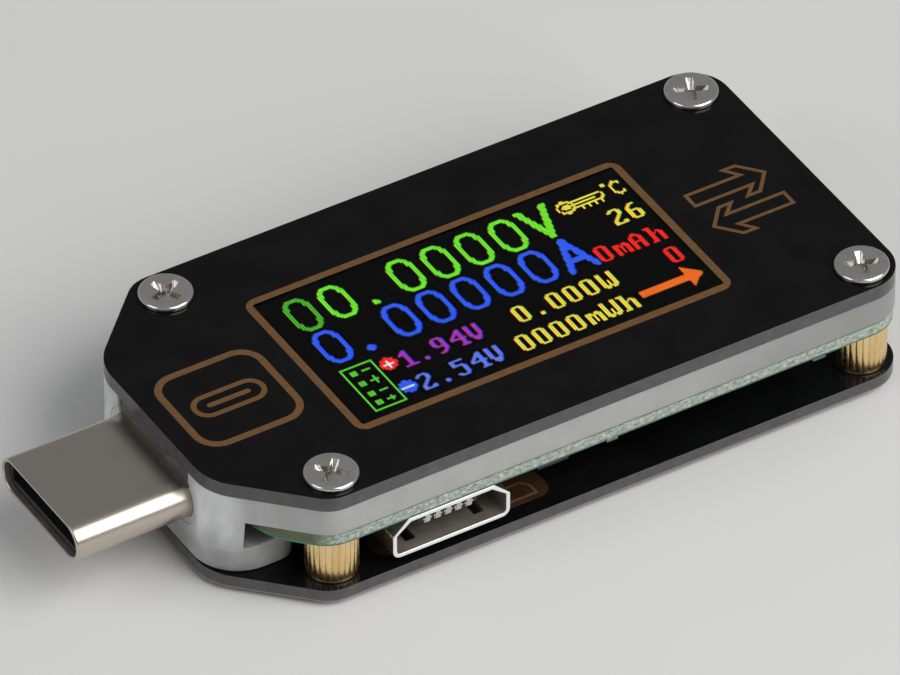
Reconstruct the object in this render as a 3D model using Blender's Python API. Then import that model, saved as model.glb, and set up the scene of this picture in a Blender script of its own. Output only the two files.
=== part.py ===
"""USB-C power meter: a pass-through tester with a small colour display.

Two thin panels hold a circuit board between them.  Four knurled brass standoffs lift the board
off the bottom panel, a moulded spacer carries the top panel over the display, and small
cross-recess screws close the stack from both faces.  A USB-C plug leaves one end, a USB-C socket
sits in the other, a micro-USB socket opens on one long side and a key on the other.

Dimensions are in millimetres along the body: x runs from the plug to the socket, y across, and
z = 0 is the underside of the bottom panel.  Blender gets metres, and the empty "meter" puts the
origin under the middle of the whole object, on the surface that it rests on.
"""
import math

import bmesh
import bpy
from mathutils import Matrix, Vector

MM = 0.001

# Body outline
BODY_WIDTH = 21.3
SIDE_Y = BODY_WIDTH / 2
NOSE_X = -22.75
TAIL_X = 18.85
CHAMFER = 4.93
NOSE_RADIUS = 3.2
SHOULDER_RADIUS = 2.0
TAIL_RADIUS = 2.3

# Stack, bottom to top.  Each layer stops FIT short of the next one.
FIT = 0.02
BOTTOM_PANEL = 0.80
STANDOFF = 3.10
BOARD = 0.82
SPACER = 1.68
TOP_PANEL = 0.88
BOARD_LOW = BOTTOM_PANEL + STANDOFF
BOARD_TOP = BOARD_LOW + BOARD
SPACER_TOP = BOARD_TOP + SPACER
BODY_TOP = SPACER_TOP + TOP_PANEL

# Screws and standoffs, M1.6
SCREW_X = 16.8
SCREW_Y = 8.77
SCREW_PLACES = [(x, y) for x in (-SCREW_X, SCREW_X) for y in (-SCREW_Y, SCREW_Y)]
HEAD_RADIUS = 1.55
HEAD_HEIGHT = 0.32
SHANK_RADIUS = 0.80
HOLE_RADIUS = 0.90
BORE_RADIUS = 0.86
STANDOFF_RADIUS = 1.50
TOP_SHANK = 4.7
BOTTOM_SHANK = 2.2
RECESS_SPAN = 1.7
RECESS_WIDTH = 0.42
RECESS_DEPTH = 0.22
TOP_SCREW_TURNS = (43, 20, 70, 65)
BOTTOM_SCREW_TURNS = (15, 50, 70, 35)

# Nose of the spacer
NOSE_WALL = 1.5
NOSE_BACK_X = NOSE_X + NOSE_WALL
FOOT_BACK_X = -17.7
FOOT_HALF = 6.92
FOOT_LOW = BOTTOM_PANEL + 0.06
FOOT_TOP = 2.60

# Board
BOARD_FRONT_X = -20.7
BOARD_TAIL_X = TAIL_X - 0.05
BOARD_SHOULDER_Y = 7.77
BOARD_SHOULDER_RADIUS = 2.6
BOARD_FRONT_RADIUS = 4.5

# USB-C plug
PLUG_REACH = 7.10
PLUG_FRONT_X = NOSE_X - PLUG_REACH
PLUG_Z = 4.18
PLUG_WIDTH = 8.25
PLUG_HEIGHT = 2.40
PLUG_WALL = 0.24
PLUG_BACK_X = -20.95
CONTACTS_PER_ROW = 12
CONTACT_PITCH = 0.5
CONTACT_WIDTH = 0.25
CONTACT_THICK = 0.09

# USB-C socket
SOCKET_Z = (BOARD_LOW + BOARD_TOP) / 2
SOCKET_WIDTH = 8.94
SOCKET_HEIGHT = 3.16
SOCKET_WALL = 0.28
SOCKET_LENGTH = 7.35
SOCKET_BACK_X = TAIL_X - SOCKET_LENGTH
TONGUE_WIDTH = 6.69
TONGUE_THICK = 0.70
TONGUE_TIP_X = TAIL_X - 0.75
TONGUE_ROOT_X = 14.4
WING_Y = 5.7

# Micro-USB socket, narrow side against the board
MICRO_X = -10.39
MICRO_DEPTH = 5.0
MICRO_FRONT_Y = -SIDE_Y
MICRO_BACK_Y = MICRO_FRONT_Y + MICRO_DEPTH
MICRO_TOP = BOARD_LOW - FIT
MICRO_LOW = 1.40
MICRO_SHOULDER_Z = 2.95
MICRO_HALF_TOP = 2.70
MICRO_HALF = 3.68
MICRO_WALL = 0.25
MICRO_TONGUE_HALF = 1.85
MICRO_PITCH = 0.65

# Side key
KEY_X = 1.0
KEY_PROUD = 0.40
KEY_LOW = 1.95
KEY_TOP = BOARD_LOW - FIT
KEY_Z = (KEY_LOW + KEY_TOP) / 2
KEY_HALF = 2.35
KEY_BACK_Y = 7.4
KEY_FACE_Y = 9.6
COVER_SHEET = 0.18
PLUNGER_HALF = 1.05
PLUNGER_HALF_HEIGHT = 0.55
FLANGE_HALF = 1.50
FLANGE_HALF_HEIGHT = 0.66

# Display module
DISPLAY_X = -1.2
DISPLAY_Y = 0.2
DISPLAY_ACTIVE = (21.7, 10.85)
DISPLAY_TAIL_BORDER = 1.3
DISPLAY_RIGHT_X = DISPLAY_X + DISPLAY_ACTIVE[0] / 2 + DISPLAY_TAIL_BORDER
DISPLAY_LENGTH = 27.95
DISPLAY_LEFT_X = DISPLAY_RIGHT_X - DISPLAY_LENGTH
DISPLAY_HALF = 6.7
TAPE_THICK = 0.16
BACKLIGHT_LOW = BOARD_TOP + TAPE_THICK + FIT
BACKLIGHT_TOP = 5.60
GLASS_TOP = 6.14
POLARIZER_TOP = 6.36

# The whole object's box decides where its origin goes.
MIDDLE_X = (PLUG_FRONT_X + TAIL_X) / 2
ORIGIN = Vector((-MIDDLE_X, -KEY_PROUD / 2, HEAD_HEIGHT + FIT))

MATERIALS = {
    "black_acrylic": ((0.012, 0.012, 0.013), 0.08, 0.0),
    "grey_spacer": ((0.38, 0.38, 0.36), 0.45, 0.0),
    "green_board": ((0.03, 0.16, 0.10), 0.45, 0.0),
    "nickel_screw": ((0.42, 0.38, 0.34), 0.28, 1.0),
    "brass_standoff": ((0.80, 0.55, 0.24), 0.25, 1.0),
    "steel_shell": ((0.48, 0.45, 0.41), 0.30, 1.0),
    "black_resin": ((0.015, 0.015, 0.016), 0.40, 0.0),
    "gold_contact": ((0.85, 0.62, 0.28), 0.22, 1.0),
    "white_frame": ((0.80, 0.80, 0.78), 0.50, 0.0),
    "display_glass": ((0.01, 0.01, 0.012), 0.05, 0.0),
    "amber_film": ((0.45, 0.22, 0.06), 0.35, 0.0),
    "chip_epoxy": ((0.03, 0.03, 0.032), 0.50, 0.0),
    "ceramic_tan": ((0.42, 0.30, 0.20), 0.55, 0.0),
    "key_cap": ((0.75, 0.74, 0.70), 0.40, 0.0),
}


# ---------------------------------------------------------------- outlines

def rounded(corners, steps=6):
    """A closed outline through (x, y, radius) corners, each rounded by an arc."""
    points = []
    for index, (x, y, radius) in enumerate(corners):
        corner = Vector((x, y))
        if radius == 0:
            points.append(corner)
            continue
        before = (Vector(corners[index - 1][:2]) - corner).normalized()
        after = (Vector(corners[(index + 1) % len(corners)][:2]) - corner).normalized()
        half = before.angle(after) / 2
        centre = corner + (before + after).normalized() * (radius / math.sin(half))
        first = corner + before * (radius / math.tan(half)) - centre
        turn = math.copysign(math.pi - 2 * half, -before.cross(after))
        for step in range(steps + 1):
            points.append(centre + Matrix.Rotation(turn * step / steps, 2) @ first)
    return points


def mirrored(half_outline):
    """Complete an outline from its y > 0 half, listed from the tail to the nose."""
    return half_outline + [(x, -y, radius) for x, y, radius in reversed(half_outline)]


def rectangle(x0, y0, x1, y1, radius=0.0, steps=3):
    corners = [(x0, y0, radius), (x1, y0, radius), (x1, y1, radius), (x0, y1, radius)]
    return rounded(corners, steps)


def circle(x, y, radius, sides=20):
    turns = [2 * math.pi * side / sides for side in range(sides)]
    return [Vector((x + radius * math.cos(turn), y + radius * math.sin(turn))) for turn in turns]


def stadium(width, height, middle_z, steps=9):
    """A slot outline with round ends, in the plane across the body."""
    radius = height / 2
    reach = width / 2 - radius
    points = []
    for side, start in ((1, -90), (-1, 90)):
        for step in range(steps + 1):
            angle = math.radians(start + 180 * step / steps)
            points.append(Vector((side * reach + radius * math.cos(angle),
                                  middle_z + radius * math.sin(angle))))
    return points


def body_outline():
    """The panels' outline: round tail corners and a nose with 45 degree corners."""
    return rounded(mirrored([
        (TAIL_X, SIDE_Y, TAIL_RADIUS),
        (NOSE_X + CHAMFER, SIDE_Y, SHOULDER_RADIUS),
        (NOSE_X, SIDE_Y - CHAMFER, NOSE_RADIUS),
    ]))


def screw_holes():
    return [circle(x, y, HOLE_RADIUS, 16) for x, y in SCREW_PLACES]


def micro_profile(inset):
    """The micro-USB section: a narrow top against the board and a wide, rounded foot."""
    half = MICRO_HALF - inset
    top_half = MICRO_HALF_TOP - inset * 0.6
    top = MICRO_TOP - inset
    low = MICRO_LOW + inset
    foot = max(0.5 - inset, 0.15)
    return rounded([
        (MICRO_X - half, low, foot),
        (MICRO_X + half, low, foot),
        (MICRO_X + half, MICRO_SHOULDER_Z, 0.15),
        (MICRO_X + top_half, top, 0.15),
        (MICRO_X - top_half, top, 0.15),
        (MICRO_X - half, MICRO_SHOULDER_Z, 0.15),
    ], 3)


def comb(start, spine_start, spine_end, end, count, pitch, tooth):
    """Contact strips joined by a spine, from start to end, with their tails on the far side."""
    half = tooth / 2
    places = [pitch * (index - (count - 1) / 2) for index in range(count)]
    near = []
    far = []
    for place in places:
        near += [(spine_start, place - half), (start, place - half),
                 (start, place + half), (spine_start, place + half)]
        far += [(spine_end, place - half), (end, place - half),
                (end, place + half), (spine_end, place + half)]
    return [Vector(point) for point in near + far[::-1]]


# ---------------------------------------------------------------- solids

AXES = {
    "X": lambda a, b, c: Vector((c, a, b)),
    "Y": lambda a, b, c: Vector((a, c, b)),
    "Z": lambda a, b, c: Vector((a, b, c)),
}


def prism(loops, low, high, axis="Z"):
    """Fill an outline, less its holes, and extrude it from low to high along one axis."""
    shape = bmesh.new()
    place = AXES[axis]
    for loop in loops:
        corners = [shape.verts.new(place(a, b, low) * MM) for a, b in loop]
        for index, corner in enumerate(corners):
            shape.edges.new((corners[index - 1], corner))
    bmesh.ops.triangle_fill(shape, use_beauty=True, edges=shape.edges[:])
    grown = bmesh.ops.extrude_face_region(shape, geom=shape.faces[:])
    raised = [item for item in grown["geom"] if isinstance(item, bmesh.types.BMVert)]
    bmesh.ops.translate(shape, verts=raised, vec=place(0, 0, high - low) * MM)
    bmesh.ops.recalc_face_normals(shape, faces=shape.faces[:])
    return shape


def block(x0, y0, z0, x1, y1, z1):
    return prism([rectangle(x0, y0, x1, y1)], z0, z1)


def turned(profile, sides=20, hollow=False):
    """Revolve (radius, z) points about Z.  A hollow profile is a closed section off the axis."""
    shape = bmesh.new()
    rings = []
    for radius, z in profile:
        if radius == 0:
            rings.append([shape.verts.new(Vector((0, 0, z)) * MM)])
            continue
        rings.append([shape.verts.new(Vector((x, y, z)) * MM) for x, y in circle(0, 0, radius, sides)])
    pairs = list(zip(rings, rings[1:]))
    if hollow:
        pairs.append((rings[-1], rings[0]))
    for lower, upper in pairs:
        for side in range(sides):
            after = (side + 1) % sides
            corners = [lower[side % len(lower)], lower[after % len(lower)],
                       upper[after % len(upper)], upper[side % len(upper)]]
            shape.faces.new(list(dict.fromkeys(corners)))
    bmesh.ops.recalc_face_normals(shape, faces=shape.faces[:])
    return shape


def to_mesh(shape):
    mesh = bpy.data.meshes.new("shape")
    shape.to_mesh(mesh)
    shape.free()
    return mesh


def combine(base, steps):
    """Apply exact Booleans in turn: steps is a list of (operation, shape)."""
    body = bpy.data.objects.new("body", to_mesh(base))
    bpy.context.collection.objects.link(body)
    tools = []
    for operation, shape in steps:
        tool = bpy.data.objects.new("tool", to_mesh(shape))
        bpy.context.collection.objects.link(tool)
        tools.append(tool)
        cut = body.modifiers.new(operation, "BOOLEAN")
        cut.operation = operation
        cut.solver = "EXACT"
        cut.object = tool
    evaluated = body.evaluated_get(bpy.context.evaluated_depsgraph_get())
    mesh = bpy.data.meshes.new_from_object(evaluated)
    for item in [body] + tools:
        bpy.data.objects.remove(item, do_unlink=True)
    return mesh


def material(name):
    if name in bpy.data.materials:
        return bpy.data.materials[name]
    colour, roughness, metallic = MATERIALS[name]
    made = bpy.data.materials.new(name)
    made.use_nodes = True
    shader = made.node_tree.nodes["Principled BSDF"]
    shader.inputs["Base Color"].default_value = (*colour, 1)
    shader.inputs["Roughness"].default_value = roughness
    shader.inputs["Metallic"].default_value = metallic
    return made


def add(name, mesh, material_name, location=(0, 0, 0), turn=None, parent=None):
    """Put one named sub-part in the scene, under the meter's own empty."""
    if isinstance(mesh, bmesh.types.BMesh):
        mesh = to_mesh(mesh)
    mesh.name = name
    mesh.materials.clear()
    mesh.materials.append(material(material_name))
    mesh.shade_smooth()
    mesh.set_sharp_from_angle(angle=math.radians(30))
    piece = bpy.data.objects.new(name, mesh)
    bpy.context.collection.objects.link(piece)
    piece.parent = parent or METER
    piece.location = Vector(location) * MM
    if turn:
        piece.rotation_euler = [math.radians(angle) for angle in turn]
    return piece


# ---------------------------------------------------------------- panels, board and spacer

def build_panels():
    loops = [body_outline()] + screw_holes()
    add("bottom_panel", prism(loops, 0, BOTTOM_PANEL - FIT), "black_acrylic")
    add("top_panel", prism(loops, SPACER_TOP, BODY_TOP), "black_acrylic")


def build_board():
    """A board with a notch for the socket and two slots for the plug's shell legs."""
    notch_x = SOCKET_BACK_X - 0.2
    notch_y = SOCKET_WIDTH / 2 + 0.15
    slot_in = PLUG_WIDTH / 2 - 0.44
    slot_out = PLUG_WIDTH / 2 + 0.16
    slot_back_x = -17.35
    outline = rounded(mirrored([
        (notch_x, notch_y, 0.3),
        (BOARD_TAIL_X, notch_y, 0.3),
        (BOARD_TAIL_X, SIDE_Y, TAIL_RADIUS),
        (NOSE_X + CHAMFER, SIDE_Y, BOARD_SHOULDER_RADIUS),
        (BOARD_FRONT_X, BOARD_SHOULDER_Y, BOARD_FRONT_RADIUS),
        (BOARD_FRONT_X, slot_out, 0),
        (slot_back_x, slot_out, 0.2),
        (slot_back_x, slot_in, 0.2),
        (BOARD_FRONT_X, slot_in, 0),
    ]), 5)
    add("main_board", prism([outline] + screw_holes(), BOARD_LOW, BOARD_TOP - FIT), "green_board")


def build_spacer():
    """The moulded ring under the top panel, with the nose that the plug passes through."""
    side_wall = 1.4
    pad_y = 6.95
    pad_reach = 2.4
    window = rounded(mirrored([
        (17.3, pad_y, 0.4),
        (SCREW_X - pad_reach, pad_y, 0.4),
        (SCREW_X - pad_reach, SIDE_Y - side_wall, 0.4),
        (-SCREW_X + pad_reach, SIDE_Y - side_wall, 0.4),
        (-SCREW_X + pad_reach, pad_y, 0.4),
        (-17.85, pad_y, 0.4),
        (-20.2, pad_y - 2.35, 0.4),
    ]), 2)
    ring = prism([body_outline(), window] + screw_holes(), BOARD_TOP, SPACER_TOP - FIT)
    inset = 0.02
    front = rounded([
        (NOSE_BACK_X, -(SIDE_Y - CHAMFER + NOSE_WALL - inset), 0),
        (NOSE_BACK_X, SIDE_Y - CHAMFER + NOSE_WALL - inset, 0),
        (NOSE_X + inset, SIDE_Y - CHAMFER, NOSE_RADIUS),
        (NOSE_X + inset, -(SIDE_Y - CHAMFER), NOSE_RADIUS),
    ])
    wall = prism([front], FOOT_TOP - 0.1, SPACER_TOP - 0.4)
    foot = rounded(mirrored([
        (FOOT_BACK_X, FOOT_HALF, 1.2),
        (NOSE_X + 2 * inset, FOOT_HALF, 2.8),
    ]))
    clearance = 0.2
    plug_hole = stadium(PLUG_WIDTH + clearance, PLUG_HEIGHT + clearance, PLUG_Z)
    socket_hole = stadium(SOCKET_WIDTH + clearance, SOCKET_HEIGHT + clearance, SOCKET_Z)
    mesh = combine(ring, [
        ("UNION", wall),
        ("UNION", prism([foot], FOOT_LOW, FOOT_TOP)),
        ("DIFFERENCE", prism([plug_hole], NOSE_X - 1, -20.0, "X")),
        ("DIFFERENCE", prism([socket_hole], 17.0, TAIL_X + 1, "X")),
    ])
    add("spacer_frame", mesh, "grey_spacer")


# ---------------------------------------------------------------- fasteners

def screw_mesh(shank):
    """A flat-topped head with a round rim and a cross recess, its underside at z = 0."""
    tip = 0.2
    head = turned([
        (0, HEAD_HEIGHT),
        (HEAD_RADIUS - 0.16, HEAD_HEIGHT),
        (HEAD_RADIUS - 0.05, HEAD_HEIGHT - 0.06),
        (HEAD_RADIUS, HEAD_HEIGHT - 0.17),
        (HEAD_RADIUS, 0),
        (SHANK_RADIUS, 0),
        (SHANK_RADIUS, -shank + tip),
        (SHANK_RADIUS - tip, -shank),
        (0, -shank),
    ], 18)
    low = HEAD_HEIGHT - RECESS_DEPTH
    half = RECESS_SPAN / 2
    narrow = RECESS_WIDTH / 2
    cross = [(half, narrow), (narrow, narrow), (narrow, half), (-narrow, half), (-narrow, narrow),
             (-half, narrow), (-half, -narrow), (-narrow, -narrow), (-narrow, -half),
             (narrow, -half), (narrow, -narrow), (half, -narrow)]
    return combine(head, [("DIFFERENCE", prism([cross], low, HEAD_HEIGHT + 0.2))])


def build_fasteners():
    top_mesh = screw_mesh(TOP_SHANK)
    bottom_mesh = screw_mesh(BOTTOM_SHANK)
    tall = STANDOFF - FIT
    ease = 0.12
    sleeve = to_mesh(turned([
        (BORE_RADIUS, 0),
        (STANDOFF_RADIUS - ease, 0),
        (STANDOFF_RADIUS, ease),
        (STANDOFF_RADIUS, tall - ease),
        (STANDOFF_RADIUS - ease, tall),
        (BORE_RADIUS, tall),
    ], 18, hollow=True))
    for index, (x, y) in enumerate(SCREW_PLACES):
        number = index + 1
        add(f"top_screw_{number}", top_mesh, "nickel_screw",
            (x, y, BODY_TOP + FIT), (0, 0, TOP_SCREW_TURNS[index]))
        add(f"standoff_{number}", sleeve, "brass_standoff", (x, y, BOTTOM_PANEL))
        add(f"bottom_screw_{number}", bottom_mesh, "nickel_screw",
            (x, y, -FIT), (180, 0, BOTTOM_SCREW_TURNS[index]))


# ---------------------------------------------------------------- USB-C plug

def contact_set(strip_z, tail_z, start, jog_start, jog_end, end, spine_start, spine_end):
    """A row of contacts: flat strips, a jog up or down to the board, and soldered tails."""
    half = CONTACT_THICK / 2
    side = [
        (start, strip_z - half), (jog_start, strip_z - half),
        (jog_end, tail_z - half), (end, tail_z - half),
        (end, tail_z + half), (jog_end, tail_z + half),
        (jog_start, strip_z + half), (start, strip_z + half),
    ]
    reach = CONTACT_PITCH * CONTACTS_PER_ROW / 2 + 0.5
    plan = comb(start - math.copysign(1, end - start), spine_start, spine_end,
                end + math.copysign(1, end - start), CONTACTS_PER_ROW, CONTACT_PITCH, CONTACT_WIDTH)
    sheet = prism([[Vector(point) for point in side]], -reach, reach, "Y")
    return combine(sheet, [("INTERSECT", prism([plan], strip_z - 2, strip_z + 2))])


def build_plug():
    inner_width = PLUG_WIDTH - 2 * PLUG_WALL
    inner_height = PLUG_HEIGHT - 2 * PLUG_WALL
    tube = prism([stadium(PLUG_WIDTH, PLUG_HEIGHT, PLUG_Z), stadium(inner_width, inner_height, PLUG_Z)],
                 PLUG_FRONT_X, PLUG_BACK_X, "X")
    leg_in = PLUG_WIDTH / 2 - 0.30
    leg_out = PLUG_WIDTH / 2 - 0.04
    leg_half = 0.55
    legs = [("UNION", block(PLUG_BACK_X - 0.8, y0, PLUG_Z - leg_half, -17.5, y1, PLUG_Z + leg_half))
            for y0, y1 in ((leg_in, leg_out), (-leg_out, -leg_in))]
    add("plug_shell", combine(tube, legs), "steel_shell")

    front = PLUG_FRONT_X + 0.35
    cavity_back = -23.6
    cavity_half = 0.46
    cavity_y = 3.42
    passage = CONTACT_PITCH * CONTACTS_PER_ROW / 2
    strip = cavity_half - CONTACT_THICK / 2 - 0.03
    core = prism([stadium(inner_width - 0.06, inner_height - 0.06, PLUG_Z)], front, PLUG_BACK_X, "X")
    add("plug_insulator", combine(core, [
        ("DIFFERENCE", block(front - 1, -cavity_y, PLUG_Z - cavity_half,
                             cavity_back, cavity_y, PLUG_Z + cavity_half)),
        ("DIFFERENCE", block(cavity_back - 0.1, -passage, PLUG_Z + 0.25,
                             PLUG_BACK_X + 1, passage, PLUG_Z + cavity_half)),
        ("DIFFERENCE", block(cavity_back - 0.1, -passage, PLUG_Z - cavity_half,
                             PLUG_BACK_X + 1, passage, PLUG_Z - 0.25)),
    ]), "black_resin")

    tail_gap = CONTACT_THICK / 2 + 0.03
    upper_tail = BOARD_TOP + tail_gap
    lower_tail = BOARD_LOW - tail_gap
    for name, z, tail in (("upper", PLUG_Z + strip, upper_tail), ("lower", PLUG_Z - strip, lower_tail)):
        add(f"plug_contacts_{name}",
            contact_set(z, tail, front + 0.4, PLUG_BACK_X - 0.05, BOARD_FRONT_X - 0.05,
                        -19.4, -23.9, -21.2),
            "gold_contact")

    arm_out = cavity_y - 0.04
    arm_in = arm_out - 0.22
    bridge = cavity_back - 0.25
    fork = [(front + 0.3, arm_out), (front + 0.3, arm_in), (bridge, arm_in), (bridge, -arm_in),
            (front + 0.3, -arm_in), (front + 0.3, -arm_out), (cavity_back - 0.03, -arm_out),
            (cavity_back - 0.03, arm_out)]
    add("plug_latch", prism([[Vector(point) for point in fork]], PLUG_Z - 0.12, PLUG_Z + 0.12),
        "steel_shell")


# ---------------------------------------------------------------- USB-C socket

def build_socket():
    inner_width = SOCKET_WIDTH - 2 * SOCKET_WALL
    inner_height = SOCKET_HEIGHT - 2 * SOCKET_WALL
    tube = prism([stadium(SOCKET_WIDTH, SOCKET_HEIGHT, SOCKET_Z),
                  stadium(inner_width, inner_height, SOCKET_Z)], SOCKET_BACK_X, TAIL_X, "X")
    wing_in = SOCKET_WIDTH / 2 - 0.30
    wing_low = BOARD_TOP + 0.03
    wings = []
    for x in (12.4, 15.9):
        for y0, y1 in ((wing_in, WING_Y), (-WING_Y, -wing_in)):
            wings.append(("UNION", block(x, y0, wing_low, x + 1.2, y1, wing_low + 0.25)))
    add("socket_shell", combine(tube, wings), "steel_shell")

    half = TONGUE_THICK / 2
    passage = CONTACT_PITCH * CONTACTS_PER_ROW / 2
    core = prism([stadium(inner_width - 0.06, inner_height - 0.06, SOCKET_Z)],
                 SOCKET_BACK_X + 0.05, TONGUE_ROOT_X, "X")
    tongue = prism([rectangle(-TONGUE_WIDTH / 2, SOCKET_Z - half, TONGUE_WIDTH / 2, SOCKET_Z + half,
                              0.12)], TONGUE_ROOT_X - 0.5, TONGUE_TIP_X, "X")
    strip = half + 0.02 + CONTACT_THICK / 2
    slots = [("DIFFERENCE", block(SOCKET_BACK_X - 1, -passage, low, TONGUE_ROOT_X + 1, passage, low + 0.18))
             for low in (SOCKET_Z + half, SOCKET_Z - half - 0.18)]
    add("socket_insulator", combine(core, [("UNION", tongue)] + slots), "black_resin")

    tail_gap = CONTACT_THICK / 2 + 0.03
    for name, z, tail in (("upper", SOCKET_Z + strip, BOARD_TOP + tail_gap),
                          ("lower", SOCKET_Z - strip, BOARD_LOW - tail_gap)):
        add(f"socket_contacts_{name}",
            contact_set(z, tail, TONGUE_TIP_X - 0.4, SOCKET_BACK_X + 0.02, SOCKET_BACK_X - 0.22,
                        SOCKET_BACK_X - 1.4, TONGUE_ROOT_X - 0.3, SOCKET_BACK_X + 0.4),
            "gold_contact")


# ---------------------------------------------------------------- micro-USB socket

def build_micro_socket():
    tube = prism([micro_profile(0), micro_profile(MICRO_WALL)], MICRO_FRONT_Y, MICRO_BACK_Y, "Y")
    wings = [("UNION", block(x0, -8.8, MICRO_TOP - 0.25, x1, -7.4, MICRO_TOP))
             for x0, x1 in ((MICRO_X - 4.5, MICRO_X - 2.6), (MICRO_X + 2.6, MICRO_X + 4.5))]
    add("micro_usb_shell", combine(tube, wings), "steel_shell")

    root_y = MICRO_FRONT_Y + 3.1
    tongue_low = 2.92
    tongue_top = 3.42
    core = prism([micro_profile(MICRO_WALL + 0.03)], root_y, MICRO_BACK_Y - 0.05, "Y")
    tongue = block(MICRO_X - MICRO_TONGUE_HALF, MICRO_FRONT_Y + 0.45, tongue_low,
                   MICRO_X + MICRO_TONGUE_HALF, root_y + 0.5, tongue_top)
    passage = MICRO_X - 1.65, MICRO_X + 1.65
    slot = block(passage[0], root_y - 1, tongue_low - 0.14, passage[1], MICRO_BACK_Y + 1, tongue_low)
    add("micro_usb_insulator", combine(core, [("UNION", tongue), ("DIFFERENCE", slot)]), "black_resin")

    strips = comb(MICRO_FRONT_Y + 0.55, root_y + 0.3, MICRO_BACK_Y - 0.3, MICRO_BACK_Y + 0.9,
                  5, MICRO_PITCH, 0.34)
    plan = [Vector((MICRO_X + across, along)) for along, across in strips]
    add("micro_usb_contacts", prism([plan], tongue_low - 0.11, tongue_low - 0.02), "gold_contact")


# ---------------------------------------------------------------- side key

def build_key():
    cavity = block(KEY_X - 1.75, KEY_BACK_Y + 0.5, KEY_Z - 0.74, KEY_X + 1.75, KEY_FACE_Y + 1, KEY_Z + 0.74)
    base = block(KEY_X - KEY_HALF, KEY_BACK_Y, KEY_LOW, KEY_X + KEY_HALF, KEY_FACE_Y, KEY_TOP)
    add("key_base", combine(base, [("DIFFERENCE", cavity)]), "black_resin")

    face = KEY_FACE_Y + FIT
    inner = KEY_HALF + FIT
    outer = inner + COVER_SHEET
    sheet = [(-outer, 7.9), (-inner, 7.9), (-inner, face), (inner, face), (inner, 7.9), (outer, 7.9),
             (outer, face + COVER_SHEET), (-outer, face + COVER_SHEET)]
    wrap = prism([[Vector((KEY_X + x, y)) for x, y in sheet]], KEY_LOW, KEY_TOP)
    gap = 0.08
    window = block(KEY_X - PLUNGER_HALF - gap, face - 0.3, KEY_Z - PLUNGER_HALF_HEIGHT - gap,
                   KEY_X + PLUNGER_HALF + gap, face + 1, KEY_Z + PLUNGER_HALF_HEIGHT + gap)
    add("key_cover", combine(wrap, [("DIFFERENCE", window)]), "steel_shell")

    steps = 8
    rise = 0.35
    reach = 1.45
    crown = [(reach * (2 * step / steps - 1), rise * (1 - (2 * step / steps - 1) ** 2))
             for step in range(steps + 1)]
    foot = KEY_BACK_Y + 0.56
    leaf = [Vector((KEY_X + x, foot + y)) for x, y in crown]
    back = [Vector((KEY_X + x, foot + y + 0.1)) for x, y in reversed(crown)]
    add("key_dome", prism([leaf + back], KEY_Z - 0.6, KEY_Z + 0.6), "gold_contact")

    flange_front = KEY_FACE_Y - 0.01
    flange_back = flange_front - 0.35
    tip = SIDE_Y + KEY_PROUD
    plunger_end = rectangle(KEY_X - PLUNGER_HALF, flange_back, KEY_X + PLUNGER_HALF, tip, 0.3, 4)
    plunger = combine(
        prism([plunger_end], KEY_Z - PLUNGER_HALF_HEIGHT, KEY_Z + PLUNGER_HALF_HEIGHT),
        [("UNION", block(KEY_X - FLANGE_HALF, flange_back, KEY_Z - FLANGE_HALF_HEIGHT,
                         KEY_X + FLANGE_HALF, flange_front, KEY_Z + FLANGE_HALF_HEIGHT)),
         ("UNION", block(KEY_X - 0.4, flange_back - 0.45, KEY_Z - 0.4,
                         KEY_X + 0.4, flange_back + 0.1, KEY_Z + 0.4))])
    plunger.transform(Matrix.Translation(Vector((-KEY_X, -tip, -KEY_Z)) * MM))
    add("key_plunger", plunger, "key_cap", (KEY_X, tip, KEY_Z))


# ---------------------------------------------------------------- display

def build_display():
    """Tape, backlight tray, glass, polarizer and the flex tail that folds down to the board."""
    left, right = DISPLAY_LEFT_X, DISPLAY_RIGHT_X
    near, far = DISPLAY_Y - DISPLAY_HALF, DISPLAY_Y + DISPLAY_HALF
    tape_end = 9.8
    add("display_tape", block(left + 1, near + 1, BOARD_TOP, tape_end, far - 1, BOARD_TOP + TAPE_THICK),
        "chip_epoxy")
    add("display_backlight", block(left, near, BACKLIGHT_LOW, right, far, BACKLIGHT_TOP - FIT),
        "white_frame")
    step = 0.3
    add("display_glass", block(left + step, near + step, BACKLIGHT_TOP, right - step, far - step,
                               GLASS_TOP - FIT), "display_glass")
    border = 0.55
    half_x = DISPLAY_ACTIVE[0] / 2 + border
    half_y = DISPLAY_ACTIVE[1] / 2 + border
    add("display_polarizer",
        block(DISPLAY_X - half_x, DISPLAY_Y - half_y, GLASS_TOP,
              DISPLAY_X + half_x, DISPLAY_Y + half_y, POLARIZER_TOP),
        "display_glass")
    film = 0.1
    flex_half = 3.6
    land = BOARD_TOP + 0.05
    run = [(left + 1.6, GLASS_TOP), (left - 0.3, GLASS_TOP), (left - 0.9, land), (left - 2.2, land)]
    upper = [(x, z + film) for x, z in reversed(run)]
    add("display_flex", prism([[Vector(point) for point in run + upper]],
                              DISPLAY_Y - flex_half, DISPLAY_Y + flex_half, "Y"), "amber_film")


# ---------------------------------------------------------------- components under the board

def chip(name, x, y, length, width, height, material_name="chip_epoxy"):
    """A moulded package hanging from the board, its lower edges drafted."""
    top = BOARD_LOW - 0.03
    draft = 0.08
    body = block(x - length / 2, y - width / 2, top - height, x + length / 2, y + width / 2, top)
    middle = (top - height / 2) * MM
    centre = Vector((x, y, 0)) * MM
    for corner in body.verts:
        if corner.co.z < middle:
            corner.co.x -= math.copysign(draft * MM, corner.co.x - centre.x)
            corner.co.y -= math.copysign(draft * MM, corner.co.y - centre.y)
    add(name, body, material_name)


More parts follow.
